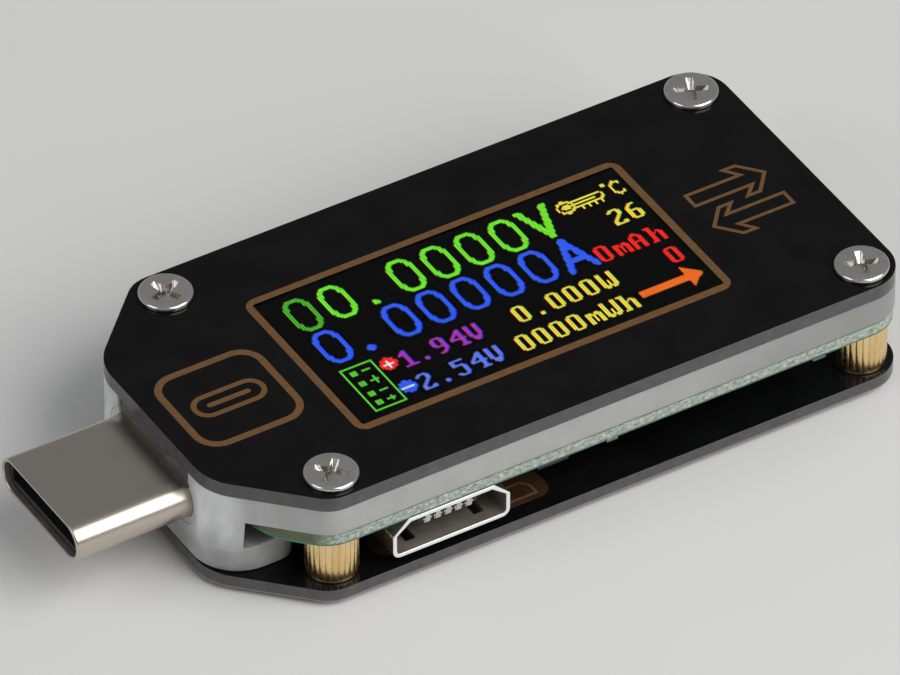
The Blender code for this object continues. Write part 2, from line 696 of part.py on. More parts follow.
def build_components():
    chip("microcontroller", 0.6, 0.4, 7.0, 7.0, 1.0)
    chip("memory_chip", -10.2, 3.6, 4.9, 3.9, 1.5)
    chip("current_sense_amplifier", 7.4, 4.6, 3.0, 3.0, 0.9)
    chip("voltage_regulator", 8.4, -5.2, 4.5, 2.5, 1.5)
    chip("fast_charge_controller", -11.2, -2.0, 3.0, 3.0, 0.8)
    chip("protection_diode", -3.25, -8.7, 2.1, 1.6, 1.35)
    chip("shunt_resistor", -15.9, 0.0, 3.2, 6.3, 0.6)
    chip("crystal", -0.4, -5.4, 3.2, 2.5, 0.8, "steel_shell")
    chip("inductor", 3.4, -7.6, 3.0, 3.0, 1.4)
    chip("input_capacitor", -14.2, 6.0, 1.6, 3.2, 1.5, "ceramic_tan")
    chip("output_capacitor", 8.3, 0.2, 1.6, 3.2, 1.5, "ceramic_tan")
    chip("divider_resistor_high", -5.6, 3.4, 1.0, 0.5, 0.35)
    chip("divider_resistor_low", -5.6, 2.0, 1.0, 0.5, 0.35)


for leftover in list(bpy.data.objects):
    bpy.data.objects.remove(leftover, do_unlink=True)

METER = bpy.data.objects.new("meter", None)
bpy.context.collection.objects.link(METER)
METER.location = ORIGIN * MM

build_panels()
build_board()
build_spacer()
build_fasteners()
build_plug()
build_socket()
build_micro_socket()
build_key()
build_display()
build_components()
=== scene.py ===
import math

import bmesh
import bpy
from mathutils import Matrix, Vector, noise


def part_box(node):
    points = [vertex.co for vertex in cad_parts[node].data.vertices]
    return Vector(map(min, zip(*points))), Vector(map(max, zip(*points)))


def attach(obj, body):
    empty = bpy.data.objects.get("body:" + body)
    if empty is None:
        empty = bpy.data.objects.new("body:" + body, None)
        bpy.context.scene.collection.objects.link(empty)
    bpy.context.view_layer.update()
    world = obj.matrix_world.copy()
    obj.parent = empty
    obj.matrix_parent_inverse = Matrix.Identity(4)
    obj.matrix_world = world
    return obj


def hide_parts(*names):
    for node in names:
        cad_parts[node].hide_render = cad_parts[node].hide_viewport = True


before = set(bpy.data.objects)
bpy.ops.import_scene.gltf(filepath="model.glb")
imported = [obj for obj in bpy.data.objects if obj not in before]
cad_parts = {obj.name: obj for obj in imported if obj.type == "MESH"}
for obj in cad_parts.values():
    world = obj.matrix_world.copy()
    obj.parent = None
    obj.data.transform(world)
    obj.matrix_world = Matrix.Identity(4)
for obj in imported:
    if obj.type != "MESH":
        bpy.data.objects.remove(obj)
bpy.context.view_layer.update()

MM = 0.001

# The frame decides where the body's own millimetre axes lie: x from plug to socket, y across
# the body, z up from the underside of the bottom panel.
low_screw, high_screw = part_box("top_screw_1"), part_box("top_screw_4")
panel_box, floor_panel_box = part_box("top_panel"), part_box("bottom_panel")
BASE = Vector((
    (low_screw[0].x + low_screw[1].x + high_screw[0].x + high_screw[1].x) / 4,
    (panel_box[0].y + panel_box[1].y) / 2,
    floor_panel_box[0].z,
))

# Body outline and stack
SIDE_Y = 10.65
NOSE_X = -22.75
TAIL_X = 18.85
CHAMFER = 4.93
NOSE_RADIUS = 3.2
FIT = 0.02
PANEL_LOW_TOP = 0.78
BOARD_LOW = 3.90
BOARD_TOP = 4.70
SPACER_LOW = 4.72
SPACER_TOP = 6.38
TOP_LOW = 6.40
TOP_FACE = 7.28
SCREWS = [(x, y) for x in (-16.8, 16.8) for y in (-8.77, 8.77)]
BORE = 0.86
TOP_TURNS = (43, 20, 70, 65)
BOTTOM_TURNS = (15, 50, 70, 35)

# Connectors
PLUG_FRONT = -29.85
PLUG_BACK = -20.95
PLUG_SIZE = (8.25, 2.40)
PLUG_Z = 4.18
SOCKET_SIZE = (8.94, 3.16)
SOCKET_Z = 4.31
SOCKET_BACK = 11.50
MICRO_X = -10.39
MICRO_FRONT = -10.65
MICRO_BACK = -5.65
KEY_X = 1.0
KEY_Z = 2.915
PINS = [0.5 * (index - 5.5) for index in range(12)]
ROWS_OF_PINS = (("upper", 1), ("lower", -1))

# Display
WINDOW = (-13.45, -6.32, 9.89, 5.82)
FILM_AREA = (-12.6, -5.78, 10.2, 6.18)
PIXEL = 0.1356
COLUMNS = 160
ROWS = 80
PIXELS_X = -1.472 - PIXEL * COLUMNS / 2
PIXELS_Y = -0.188 + PIXEL * ROWS / 2
PIXEL_Z = 7.172


# ---- outlines

def rounded(corners, steps=8):
    """A closed outline through (x, y, radius) corners, each rounded by an arc."""
    points = []
    for index, (x, y, radius) in enumerate(corners):
        corner = Vector((x, y))
        if radius == 0:
            points.append(corner)
            continue
        before = (Vector(corners[index - 1][:2]) - corner).normalized()
        after = (Vector(corners[(index + 1) % len(corners)][:2]) - corner).normalized()
        half = before.angle(after) / 2
        centre = corner + (before + after).normalized() * (radius / math.sin(half))
        first = corner + before * (radius / math.tan(half)) - centre
        turn = math.copysign(math.pi - 2 * half, -before.cross(after))
        for step in range(steps + 1):
            points.append(centre + Matrix.Rotation(turn * step / steps, 2) @ first)
    return points


def vectors(*points):
    return [Vector(point) for point in points]


def mirrored(half_outline):
    return half_outline + [(x, -y, radius) for x, y, radius in reversed(half_outline)]


def rectangle(x0, y0, x1, y1, radius=0.0, steps=4):
    return rounded([(x0, y0, radius), (x1, y0, radius), (x1, y1, radius), (x0, y1, radius)], steps)


def centred(x, y, half_x, half_y, radius, steps=4):
    return rectangle(x - half_x, y - half_y, x + half_x, y + half_y, radius, steps)


def circle(x, y, radius, sides=32):
    turns = [2 * math.pi * side / sides for side in range(sides)]
    return [Vector((x + radius * math.cos(turn), y + radius * math.sin(turn))) for turn in turns]


def stadium(width, height, middle_z):
    """A round-ended slot.  A point just beside each arc keeps the flats' shading flat."""
    radius = height / 2
    reach = width / 2 - radius
    beside = reach - 0.04
    points = []
    for side, start in ((1, -90), (-1, 90)):
        points.append(Vector((side * beside, middle_z - side * radius)))
        for step in range(15):
            angle = math.radians(start + 180 * step / 14)
            points.append(Vector((side * reach + radius * math.cos(angle),
                                  middle_z + radius * math.sin(angle))))
        points.append(Vector((side * beside, middle_z + side * radius)))
    return points


def inset(points, distance):
    """A closed, counter-clockwise outline moved inwards by a distance, its corners mitred."""
    moved = []
    for index, corner in enumerate(points):
        before = (corner - points[index - 1]).normalized()
        after = (points[(index + 1) % len(points)] - corner).normalized()
        left, right = Vector((-before.y, before.x)), Vector((-after.y, after.x))
        moved.append(corner + (left + right) * (distance / (1 + left.dot(right))))
    return moved


def body_outline():
    return rounded(mirrored([(TAIL_X, SIDE_Y, 2.3), (NOSE_X + CHAMFER, SIDE_Y, 2.0),
                             (NOSE_X, SIDE_Y - CHAMFER, NOSE_RADIUS)]), 14)


def micro_profile(shrink):
    """The micro-USB section: a narrow top against the board and a wide, rounded foot."""
    half = 3.68 - shrink
    top_half = 2.70 - shrink * 0.6
    foot = max(0.5 - shrink, 0.15)
    return rounded([
        (MICRO_X - half, 1.40 + shrink, foot), (MICRO_X + half, 1.40 + shrink, foot),
        (MICRO_X + half, 2.95, 0.15), (MICRO_X + top_half, 3.88 - shrink, 0.15),
        (MICRO_X - top_half, 3.88 - shrink, 0.15), (MICRO_X - half, 2.95, 0.15),
    ], 5)


# ---- solids

AXES = {
    "X": lambda a, b, c: Vector((c, a, b)),
    "Y": lambda a, b, c: Vector((a, c, b)),
    "Z": lambda a, b, c: Vector((a, b, c)),
}


def filled(loops, level, place=AXES["Z"]):
    """A flat face inside an outline, less its holes."""
    shape = bmesh.new()
    for loop in loops:
        corners = [shape.verts.new(place(a, b, level) * MM) for a, b in loop]
        for index, corner in enumerate(corners):
            shape.edges.new((corners[index - 1], corner))
    bmesh.ops.triangle_fill(shape, use_beauty=True, edges=shape.edges[:])
    return shape


def prism(loops, low, high, axis="Z", into=None):
    """Fill an outline, less its holes, and extrude it from low to high along one axis."""
    place = AXES[axis]
    shape = filled(loops, low, place)
    grown = bmesh.ops.extrude_face_region(shape, geom=shape.faces[:])
    raised = [item for item in grown["geom"] if isinstance(item, bmesh.types.BMVert)]
    bmesh.ops.translate(shape, verts=raised, vec=place(0, 0, high - low) * MM)
    bmesh.ops.recalc_face_normals(shape, faces=shape.faces[:])
    return join(into, shape) if into else shape


def block(x0, y0, z0, x1, y1, z1, into=None):
    """A box between two opposite corners, given in either order."""
    (x0, x1), (y0, y1), (z0, z1) = sorted((x0, x1)), sorted((y0, y1)), sorted((z0, z1))
    return prism([rectangle(x0, y0, x1, y1)], z0, z1, into=into)


def join(shape, *others):
    """Put other shapes into the same mesh, each still a closed shell of its own."""
    for other in others:
        mesh = to_mesh(other)
        shape.from_mesh(mesh)
        bpy.data.meshes.remove(mesh)
    return shape


def loft(rings, closed=True, capped=False):
    """A skin over rings of equal length, in millimetres.  Closed joins the last to the first."""
    shape = bmesh.new()
    rows = [[shape.verts.new(Vector(point) * MM) for point in ring] for ring in rings]
    pairs = list(zip(rows, rows[1:]))
    if closed:
        pairs.append((rows[-1], rows[0]))
    for lower, upper in pairs:
        for index in range(len(lower)):
            after = (index + 1) % len(lower)
            shape.faces.new((lower[index], lower[after], upper[after], upper[index]))
    if capped:
        shape.faces.new(rows[0])
        shape.faces.new(rows[-1])
    bmesh.ops.recalc_face_normals(shape, faces=shape.faces[:])
    return shape


def turned(profile, sides):
    """Revolve (radius, z) points, from axis to axis, about Z."""
    shape = bmesh.new()
    rings = []
    for radius, z in profile:
        points = [(0, 0)] if radius == 0 else circle(0, 0, radius, sides)
        rings.append([shape.verts.new(Vector((x, y, z)) * MM) for x, y in points])
    for lower, upper in zip(rings, rings[1:]):
        for side in range(sides):
            after = (side + 1) % sides
            corners = [lower[side % len(lower)], lower[after % len(lower)],
                       upper[after % len(upper)], upper[side % len(upper)]]
            shape.faces.new(list(dict.fromkeys(corners)))
    bmesh.ops.recalc_face_normals(shape, faces=shape.faces[:])
    return shape


def tube(profile, size, middle_z):
    """A shell with round ends along x, from (x, shrink) points round its wall."""
    width, height = size
    return loft([[(x, a, b) for a, b in stadium(width - 2 * shrink, height - 2 * shrink, middle_z)]
                 for x, shrink in profile])


def to_mesh(shape):
    mesh = bpy.data.meshes.new("shape")
    shape.to_mesh(mesh)
    shape.free()
    return mesh


def linked(name, data):
    """A new object in the scene."""
    item = bpy.data.objects.new(name, data)
    bpy.context.scene.collection.objects.link(item)
    return item


CUT, ADD = "DIFFERENCE", "UNION"


def combine(base, *steps):
    """Apply exact Booleans in turn, each an (operation, shape)."""
    body = linked("body", to_mesh(base))
    tools = []
    for operation, shape in steps:
        tools.append(linked("tool", to_mesh(shape)))
        step = body.modifiers.new(operation, "BOOLEAN")
        step.operation = operation
        step.solver = "EXACT"
        step.object = tools[-1]
    evaluated = body.evaluated_get(bpy.context.evaluated_depsgraph_get())
    mesh = bpy.data.meshes.new_from_object(evaluated)
    for item in [body] + tools:
        bpy.data.objects.remove(item, do_unlink=True)
    return mesh


def piece(name, shape, look, stands_for=(), body="housing", bevel=0.0, bevel_look=-1,
          pick=None, spin=None, at=None):
    """Show one piece: give it its looks and its rounded edges, and fasten it to a body."""
    mesh = to_mesh(shape) if isinstance(shape, bmesh.types.BMesh) else shape
    looks = look if isinstance(look, list) else [look]
    mesh.name = name
    mesh.materials.clear()
    for each in looks:
        mesh.materials.append(each)
    for face in mesh.polygons:
        face.material_index = pick(face.center / MM, face.normal) if pick else 0
    mesh.shade_smooth()
    mesh.set_sharp_from_angle(angle=math.radians(34))
    item = linked(name, mesh)
    item.location = BASE + Vector(at or (0, 0, 0)) * MM
    if spin:
        item.rotation_euler = [math.radians(angle) for angle in spin]
    if bevel:
        edge = item.modifiers.new("edges", "BEVEL")
        edge.width = bevel * MM
        edge.segments = 3
        edge.limit_method = "ANGLE"
        edge.angle_limit = math.radians(34)
        edge.harden_normals = True
        edge.material = bevel_look
    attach(item, body)
    if stands_for:
        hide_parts(*stands_for)
    return item


# ---- looks

def node(tree, kind, inputs=None, **settings):
    """Add a shader node, with its settings, and its inputs set or linked."""
    made = tree.nodes.new("ShaderNode" + kind)
    for key, value in settings.items():
        setattr(made, key, value)
    for key, value in (inputs or {}).items():
        if isinstance(value, bpy.types.NodeSocket):
            tree.links.new(value, made.inputs[key])
        else:
            made.inputs[key].default_value = value
    return made


def ramp(tree, factor, stops, mode="LINEAR"):
    made = node(tree, "ValToRGB", {"Fac": factor})
    made.color_ramp.interpolation = mode
    elements = made.color_ramp.elements
    while len(elements) < len(stops):
        elements.new(0.5)
    for element, (position, colour) in zip(elements, stops):
        element.position = position
        element.color = (*colour, 1)
    return made.outputs["Color"]


def mix(tree, factor, first, second):
    made = node(tree, "Mix", data_type="RGBA")
    for index, value in ((0, factor), (6, first), (7, second)):
        if isinstance(value, bpy.types.NodeSocket):
            tree.links.new(value, made.inputs[index])
        else:
            made.inputs[index].default_value = value
    return made.outputs[2]


def grain(tree, scale, stretch=(1, 1, 1), detail=4.0, roughness=0.55):
    """Noise with its grid in millimetres of the piece itself."""
    where = node(tree, "TexCoord").outputs["Object"]
    sized = node(tree, "Mapping", {"Vector": where, "Scale": [s / MM for s in stretch]})
    return node(tree, "TexNoise", {"Vector": sized.outputs[0], "Scale": scale, "Detail": detail,
                                   "Roughness": roughness}).outputs["Fac"]


def own(tree, axis):
    """One coordinate of the piece itself, in metres."""
    where = node(tree, "TexCoord").outputs["Object"]
    return node(tree, "SeparateXYZ", {"Vector": where}).outputs[axis]


def along(tree, axis, start, end, most=1.0):
    """0 before start, rising to most at end, by the piece's own axis in millimetres."""
    return node(tree, "MapRange", {"Value": own(tree, axis), "From Min": start * MM,
                                   "From Max": end * MM, "To Max": most}).outputs[0]


def principled(name):
    """A new material, its tree and its shader."""
    made = bpy.data.materials.new(name)
    made.use_nodes = True
    return made, made.node_tree, made.node_tree.nodes["Principled BSDF"]


def surface(name, dark, light, rough=(0.3, 0.4), scale=1.2, stretch=(1, 1, 1), bump=0.0,
            bump_scale=14.0, **sockets):
    """A Principled look whose colour, sheen and fine relief all vary with noise."""
    made, tree, shader = principled(name)
    for key, value in sockets.items():
        shader.inputs[key.replace("_", " ")].default_value = value
    tint = ramp(tree, grain(tree, scale, stretch), [(0.3, dark), (0.7, light)])
    tree.links.new(tint, shader.inputs["Base Color"])
    fine = grain(tree, bump_scale, stretch, 3.0)
    sheen = node(tree, "MapRange", {"Value": fine, "From Min": 0.3, "From Max": 0.7,
                                    "To Min": rough[0], "To Max": rough[1]})
    tree.links.new(sheen.outputs[0], shader.inputs["Roughness"])
    if bump:
        relief = node(tree, "Bump", {"Height": fine, "Strength": 1.0, "Distance": bump * MM})
        tree.links.new(relief.outputs[0], shader.inputs["Normal"])
    return made


BLACK = surface("panel_black", (0.0035, 0.0034, 0.0036), (0.0055, 0.0053, 0.0056), (0.06, 0.10),
                0.4, bump_scale=2.0, IOR=1.49, Specular_IOR_Level=0.14)
GLOSS = surface("panel_gloss", (0.0035, 0.0035, 0.004), (0.006, 0.006, 0.0065), (0.16, 0.24), 0.4,
                bump_scale=2.0, IOR=1.49, Specular_IOR_Level=0.16)
EDGE = surface("panel_edge", (0.062, 0.061, 0.066), (0.088, 0.086, 0.090), (0.18, 0.27), 1.6,
               bump=0.0015, bump_scale=7.0, IOR=1.49)
CLEAR = surface("panel_clear", (0.97, 0.97, 0.97), (1, 1, 1), (0.0, 0.004), 0.5, IOR=1.49,
                Transmission_Weight=1.0, Specular_Tint=(0.06, 0.06, 0.06, 1))
GILT = surface("gilt_print", (0.155, 0.074, 0.023), (0.20, 0.098, 0.033), (0.45, 0.6), 3.0,
               bump=0.003, Metallic=0.2)
LABEL = surface("label_print", (0.045, 0.022, 0.010), (0.075, 0.036, 0.015), (0.4, 0.55), 2.0,
                bump=0.003, Metallic=0.3)
MILK = surface("spacer_milk", (0.37, 0.375, 0.365), (0.43, 0.43, 0.415), (0.38, 0.50), 0.35,
               bump=0.003, bump_scale=11.0, IOR=1.46, Subsurface_Weight=0.35,
               Subsurface_Scale=0.0012, Subsurface_Radius=(1, 1, 1))
MASK = surface("board_mask", (0.010, 0.085, 0.055), (0.02, 0.14, 0.09), (0.25, 0.35), 1.8,
               bump=0.004, IOR=1.5)
# Painted shade: a dark grey copy of the moulding for the back face of the shallow pocket above the
# plug, standing in for the shadow inside the opening there.
POCKET_SHADE = surface("nose_pocket_painted_shade", (0.045, 0.045, 0.045), (0.16, 0.16, 0.155), (0.3, 0.5), 2.2,
               bump=0.006, bump_scale=6.0, IOR=1.46)
RIM = surface("board_edge", (0.2, 0.3, 0.22), (0.5, 0.6, 0.5), (0.45, 0.7), 5.0, bump=0.02,
              bump_scale=8.0)
NICKEL = surface("screw_nickel", (0.54, 0.51, 0.475), (0.63, 0.60, 0.56), (0.38, 0.46), 1.5,
                 bump=0.0005, bump_scale=6.0, Metallic=1.0)
# Painted highlight: the rim's nickel is a lighter copy of the head's; its lower roughness is the
# metal's own sheen.
NICKEL_RIM_HIGHLIGHT = surface("screw_rim_painted_highlight", (0.66, 0.64, 0.61), (0.76, 0.74, 0.71), (0.14, 0.20), 1.5,
                     Metallic=1.0)
NICKEL_CROSS = surface("screw_cross", (0.48, 0.455, 0.43), (0.68, 0.65, 0.61), (0.16, 0.24), 3.0,
                       Metallic=1.0)
BRASS = surface("standoff_brass", (0.80, 0.55, 0.24), (0.92, 0.70, 0.38), (0.22, 0.32), 1.5,
                (1, 1, 0.3), 0.0003, Metallic=1.0)
STEEL = surface("plug_steel", (0.56, 0.50, 0.43), (0.59, 0.53, 0.46), (0.255, 0.275), 0.35,
                (0.3, 1, 1), bump_scale=1.0, Metallic=1.0)
# Painted shade: a darker copy of the shells' steel for the faces inside them.
SHADED_INSIDE = surface("shell_inside_painted_shade", (0.20, 0.175, 0.15), (0.30, 0.27, 0.235), (0.48, 0.60), 1.2,
                 bump=0.001, bump_scale=6.0, Metallic=0.6)
BRIGHT = surface("socket_steel", (0.62, 0.60, 0.56), (0.72, 0.70, 0.66), (0.26, 0.36), 1.2,
                 bump=0.0006, bump_scale=5.0, Metallic=1.0)
# Painted highlight: a near-white copy of the socket steel for the micro-USB shell's front faces.
LIT_FRONT_STEEL = surface("micro_front_painted_highlight", (0.86, 0.86, 0.84), (0.95, 0.95, 0.93), (0.30, 0.42), 3.0,
                  bump=0.002, bump_scale=8.0, Metallic=0.45)
RESIN = surface("resin_black", (0.010, 0.010, 0.011), (0.018, 0.018, 0.020), (0.38, 0.5), 3.0,
                bump=0.004)
GOLD = surface("contact_gold", (0.72, 0.48, 0.19), (0.86, 0.62, 0.30), (0.16, 0.28), 3.0,
               bump=0.001, Metallic=1.0)
TIN = surface("solder_tin", (0.50, 0.50, 0.49), (0.68, 0.68, 0.66), (0.18, 0.34), 3.5, bump=0.006,
              Metallic=1.0)
FRAME = surface("backlight_white", (0.70, 0.70, 0.68), (0.82, 0.82, 0.80), (0.45, 0.55), 1.0,
                bump=0.003)
PLASTIC = surface("key_white", (0.66, 0.65, 0.62), (0.76, 0.75, 0.72), (0.36, 0.48), 2.0,
                  bump=0.003)
FILM = surface("flex_amber", (0.36, 0.16, 0.04), (0.50, 0.26, 0.08), (0.28, 0.4), 1.2, bump=0.002)
EPOXY = surface("chip_epoxy", (0.018, 0.018, 0.019), (0.032, 0.032, 0.033), (0.45, 0.62), 4.0,
                bump=0.004, bump_scale=22.0)
# The diode's moulding, lighter and bluer than the other packages' epoxy: partly its own dark
# colour, partly a painted reflection.
DIODE_BODY_AND_REFLECTION = surface("diode_body_and_reflection", (0.022, 0.025, 0.032), (0.034, 0.038, 0.047), (0.42, 0.55), 3.0,
                bump=0.003, bump_scale=18.0)
CERAMIC = surface("ceramic_tan", (0.36, 0.25, 0.16), (0.46, 0.33, 0.22), (0.45, 0.55), 3.0,
                  bump=0.003)
TAPE = surface("tape_black", (0.02, 0.02, 0.021), (0.035, 0.035, 0.036), (0.6, 0.75), 2.0,
               bump=0.006)
LCD = surface("lcd_black", (0.0002, 0.0002, 0.0003), (0.0006, 0.0006, 0.0008), (0.06, 0.09), 0.6,
              IOR=1.35, Specular_Tint=(0.05, 0.05, 0.05, 1))
GLASS = surface("lcd_glass", (0.006, 0.007, 0.008), (0.012, 0.013, 0.014), (0.04, 0.07), 0.6)


def torn_laminate(tree, _):
    """Pale glass fibres in dark resin, browner at the plug's end."""
    fibres = ramp(tree, grain(tree, 3.4, (1, 1, 1.7), 6.0, 0.7), [
        (0.30, (0.10, 0.12, 0.095)), (0.42, (0.25, 0.285, 0.235)),
        (0.55, (0.41, 0.445, 0.385)), (0.70, (0.76, 0.78, 0.72))])
    plug_end = along(tree, "X", -17.6, -18.6)
    resin = mix(tree, grain(tree, 4.5, (1, 1, 1.5), 5.0), (0.035, 0.06, 0.035, 1),
                (0.17, 0.17, 0.085, 1))
    body = mix(tree, plug_end, fibres, resin)
    teal = mix(tree, plug_end, (0.06, 0.15, 0.12, 1), (0.02, 0.24, 0.13, 1))
    foot = mix(tree, along(tree, "Z", BOARD_LOW + 0.15, BOARD_LOW + 0.05), body, teal)
    return mix(tree, along(tree, "Z", BOARD_TOP - 0.12, BOARD_TOP - 0.04), foot, teal)


def lit_nose_shaded_tail(tree, colour):
    """The nose is lighter in soft upright clouds, its front wall most of all: painted light. The
    long side darkens towards the tail: painted shade.
    """
    cloud = grain(tree, 0.55, (1, 1, 0.45), 2.0)
    foot = ramp(tree, cloud, [(0.34, (0.31, 0.315, 0.31)), (0.66, (0.44, 0.445, 0.45))])
    flank = ramp(tree, cloud, [(0.34, (0.33, 0.335, 0.33)), (0.66, (0.42, 0.425, 0.42))])
    # The front wall is a much lighter copy of the milk, painted light.
    front = ramp(tree, cloud, [
        (0.34, (0.54, 0.545, 0.55)), (0.50, (0.68, 0.685, 0.69)), (0.66, (0.84, 0.845, 0.86))])
    wall = mix(tree, along(tree, "X", -21.0, -22.3), flank, front)
    clouds = mix(tree, along(tree, "Z", 1.8, 3.6), foot, wall)
    # The long side darkens towards the tail, painted shade.
    side = mix(tree, along(tree, "X", 2.0, 15.0, 0.32), colour, (0, 0, 0, 1))
    return mix(tree, along(tree, "X", -18.5, -20.5), side, clouds)


def warm_lower_line(tree, colour):
    """A lighter, warm line along the bottom panel's lower arris, in the lowest tenth of a
    millimetre of its edge.
    """
    return mix(tree, along(tree, "Z", 0.10, 0.04), colour, (0.30, 0.235, 0.215, 1))


def tracked(tree, colour):
    """Copper tracks and pads show through the mask as slightly lighter lines."""
    where = node(tree, "TexCoord").outputs["Object"]
    cells = node(tree, "TexVoronoi", {"Vector": where, "Scale": 900.0}, feature="DISTANCE_TO_EDGE")
    tracks = node(tree, "MapRange", {"Value": cells.outputs["Distance"], "From Min": 0.06,
                                     "From Max": 0.09, "To Min": 0.6, "To Max": 0.0})
    return mix(tree, tracks.outputs[0], colour, (0.05, 0.24, 0.15, 1))


def coat_window():
    """The window is coated, so most of what a plain pane would mirror is lost."""
    tree = CLEAR.node_tree
    shader = tree.nodes["Principled BSDF"]
    colour = shader.inputs["Base Color"].links[0].from_socket
    coated = node(tree, "BsdfRefraction", {"Color": colour, "Roughness": 0.0, "IOR": 1.49})
    both = node(tree, "MixShader", {0: 0.1, 1: coated.outputs[0], 2: shader.outputs[0]})
    tree.links.new(both.outputs[0], tree.nodes["Material Output"].inputs["Surface"])


for look, finish in ((RIM, torn_laminate), (MILK, lit_nose_shaded_tail), (EDGE, warm_lower_line), (MASK, tracked)):
    base = look.node_tree.nodes["Principled BSDF"].inputs["Base Color"]
    look.node_tree.links.new(finish(look.node_tree, base.links[0].from_socket), base)
coat_window()


# ---- panels, spacer and board

def screw_holes(radius=0.9):
    return [circle(x, y, radius) for x, y in SCREWS]


def build_panels():
    def outer_wall(centre, normal):
        wall = abs(normal.z) < 0.5
        outside = abs(centre.y) > 7.8 or centre.x < -18.3 or centre.x > 18
        near_screw = any((centre.xy - Vector(place)).length < 1.2 for place in SCREWS)
        return 1 if wall and outside and not near_screw else 0

    window = rectangle(*WINDOW, 0.25)
    piece("panel_top", prism([body_outline(), window] + screw_holes(), TOP_LOW, TOP_FACE),
          [BLACK, EDGE], ["top_panel"], bevel=0.09, bevel_look=1, pick=outer_wall)
    x0, y0, x1, y1 = WINDOW
    gap = 0.012
    pane = rectangle(x0 + gap, y0 + gap, x1 - gap, y1 - gap, 0.24)
    piece("panel_window", prism([pane], PIXEL_Z + 0.028, TOP_FACE), [CLEAR, BLACK],
          pick=lambda centre, normal: 0 if abs(normal.z) > 0.5 else 1)
    piece("panel_window_backing", prism([pane], TOP_LOW - FIT, PIXEL_Z - 0.004), LCD)
    piece("panel_bottom", prism([body_outline()] + screw_holes(), 0, PANEL_LOW_TOP),
          [GLOSS, EDGE], ["bottom_panel"], bevel=0.09, bevel_look=1,
          pick=outer_wall)


def printed(name, loops, face, look=GILT):
    """Ink lies 0.008 mm proud of the face it is printed on."""
    piece(name, prism(loops, face - 0.002, face + 0.008), look)


def build_prints():
    frame_line = rectangle(-13.68, -6.56, 10.12, 6.04, 0.75, 8)
    inner = rectangle(-13.24, -6.08, 9.67, 5.60, 0.12, 3)
    printed("print_display_frame", [frame_line, inner], TOP_FACE)

    arrow = vectors((11.70, 0.22), (15.22, 0.22), (14.50, -0.51), (15.60, -0.51), (16.76, 0.87),
                    (15.56, 2.27), (14.50, 2.27), (15.12, 1.46), (11.70, 1.46))
    turned_arrow = [Vector((28.39 - x, -0.82 - y)) for x, y in arrow]
    for name, shape in (("out", arrow), ("back", turned_arrow)):
        printed(f"print_arrow_{name}", [shape, inset(shape, 0.22)], TOP_FACE)

    middle = Vector((-18.25, -0.45))
    badge = [centred(0, 0, 3.35, 3.35, 1.5, 8), centred(0, 0, 2.93, 2.93, 1.1, 8)]
    port = [stadium(4.5, 1.9, 0), stadium(3.86, 1.26, 0)]
    for name, loops in (("badge", badge), ("port", port), ("tongue", [stadium(2.7, 0.34, 0)])):
        printed(f"print_port_{name}", [[middle + point for point in loop] for loop in loops],
                TOP_FACE)

    printed("print_micro_label", [rectangle(-14.25, -9.66, -3.3, -7.3, 0.9, 8)], PANEL_LOW_TOP,
            LABEL)
    outline = vectors((-5.9, -9.3), (-4.1, -9.3), (-4.1, -8.55), (-4.5, -8.0), (-5.5, -8.0),
                      (-5.9, -8.55))
    for name, loops in (("socket", [outline, inset(outline, 0.16)]),
                        ("bar", [rectangle(-13.75, -9.1, -13.0, -8.95)])):
        printed(f"print_micro_{name}", loops, PANEL_LOW_TOP + 0.006)


def build_spacer():
    """The milky ring under the top panel, with the nose that the plug passes through."""
    window = rounded(mirrored([(x, y, 0.4) for x, y in (
        (17.3, 6.95), (14.4, 6.95), (14.4, 9.25), (-14.4, 9.25), (-14.4, 6.95), (-17.85, 6.95),
        (-20.2, 4.6))]), 4)

    def wall_ring(reach, corner, radius, z):
        outline = rounded([(-21.25, -reach, 0), (-21.25, reach, 0),
                           (NOSE_X, corner, radius), (NOSE_X, -corner, radius)], 14)
        return [(x, y, z) for x, y in outline]

    def foot_ring(half, radius, z):
        outline = rounded(mirrored([(-17.7, 6.92, 1.2), (NOSE_X + 0.01, half, radius)]), 12)
        return [(x, y, z) for x, y in outline]

    corner = SIDE_Y - CHAMFER
    wall = loft([wall_ring(6.925, 6.318, 2.38, 2.5), wall_ring(7.2, corner, NOSE_RADIUS, 4.7),
                 wall_ring(7.2, corner, NOSE_RADIUS, 6.0)], closed=False, capped=True)
    foot = loft([foot_ring(6.92, 2.8, 0.86), foot_ring(7.1, 2.4, 2.60)], closed=False, capped=True)
    pocket = 0.16
    ring = prism([body_outline(), window] + screw_holes(), SPACER_LOW, SPACER_TOP)
    hollows = [(CUT, prism([loop], low, high, "X")) for loop, low, high in (
        (rectangle(-3.75, PLUG_Z + 1, 3.75, SPACER_TOP + 1, 0.2), NOSE_X - 1, NOSE_X + pocket),
        (stadium(9.2, 3.3, PLUG_Z), NOSE_X - 1, NOSE_X + 0.06),
        (stadium(8.33, 2.48, PLUG_Z), NOSE_X - 1, -20.0),
        (stadium(9.14, 3.36, SOCKET_Z), 17.0, TAIL_X + 1))]
    mesh = combine(ring, (ADD, wall), (ADD, foot), *hollows)

    # The pocket's back face takes the second look, painted shade.
    def shaded_pocket_face(centre, normal):
        depth = centre.x - NOSE_X
        return 1 if normal.x < -0.8 and 0.1 < depth < 0.2 and abs(centre.y) < 3.8 else 0

    piece("spacer_moulding", mesh, [MILK, POCKET_SHADE], ["spacer_frame"], bevel=0.04,
          pick=shaded_pocket_face)


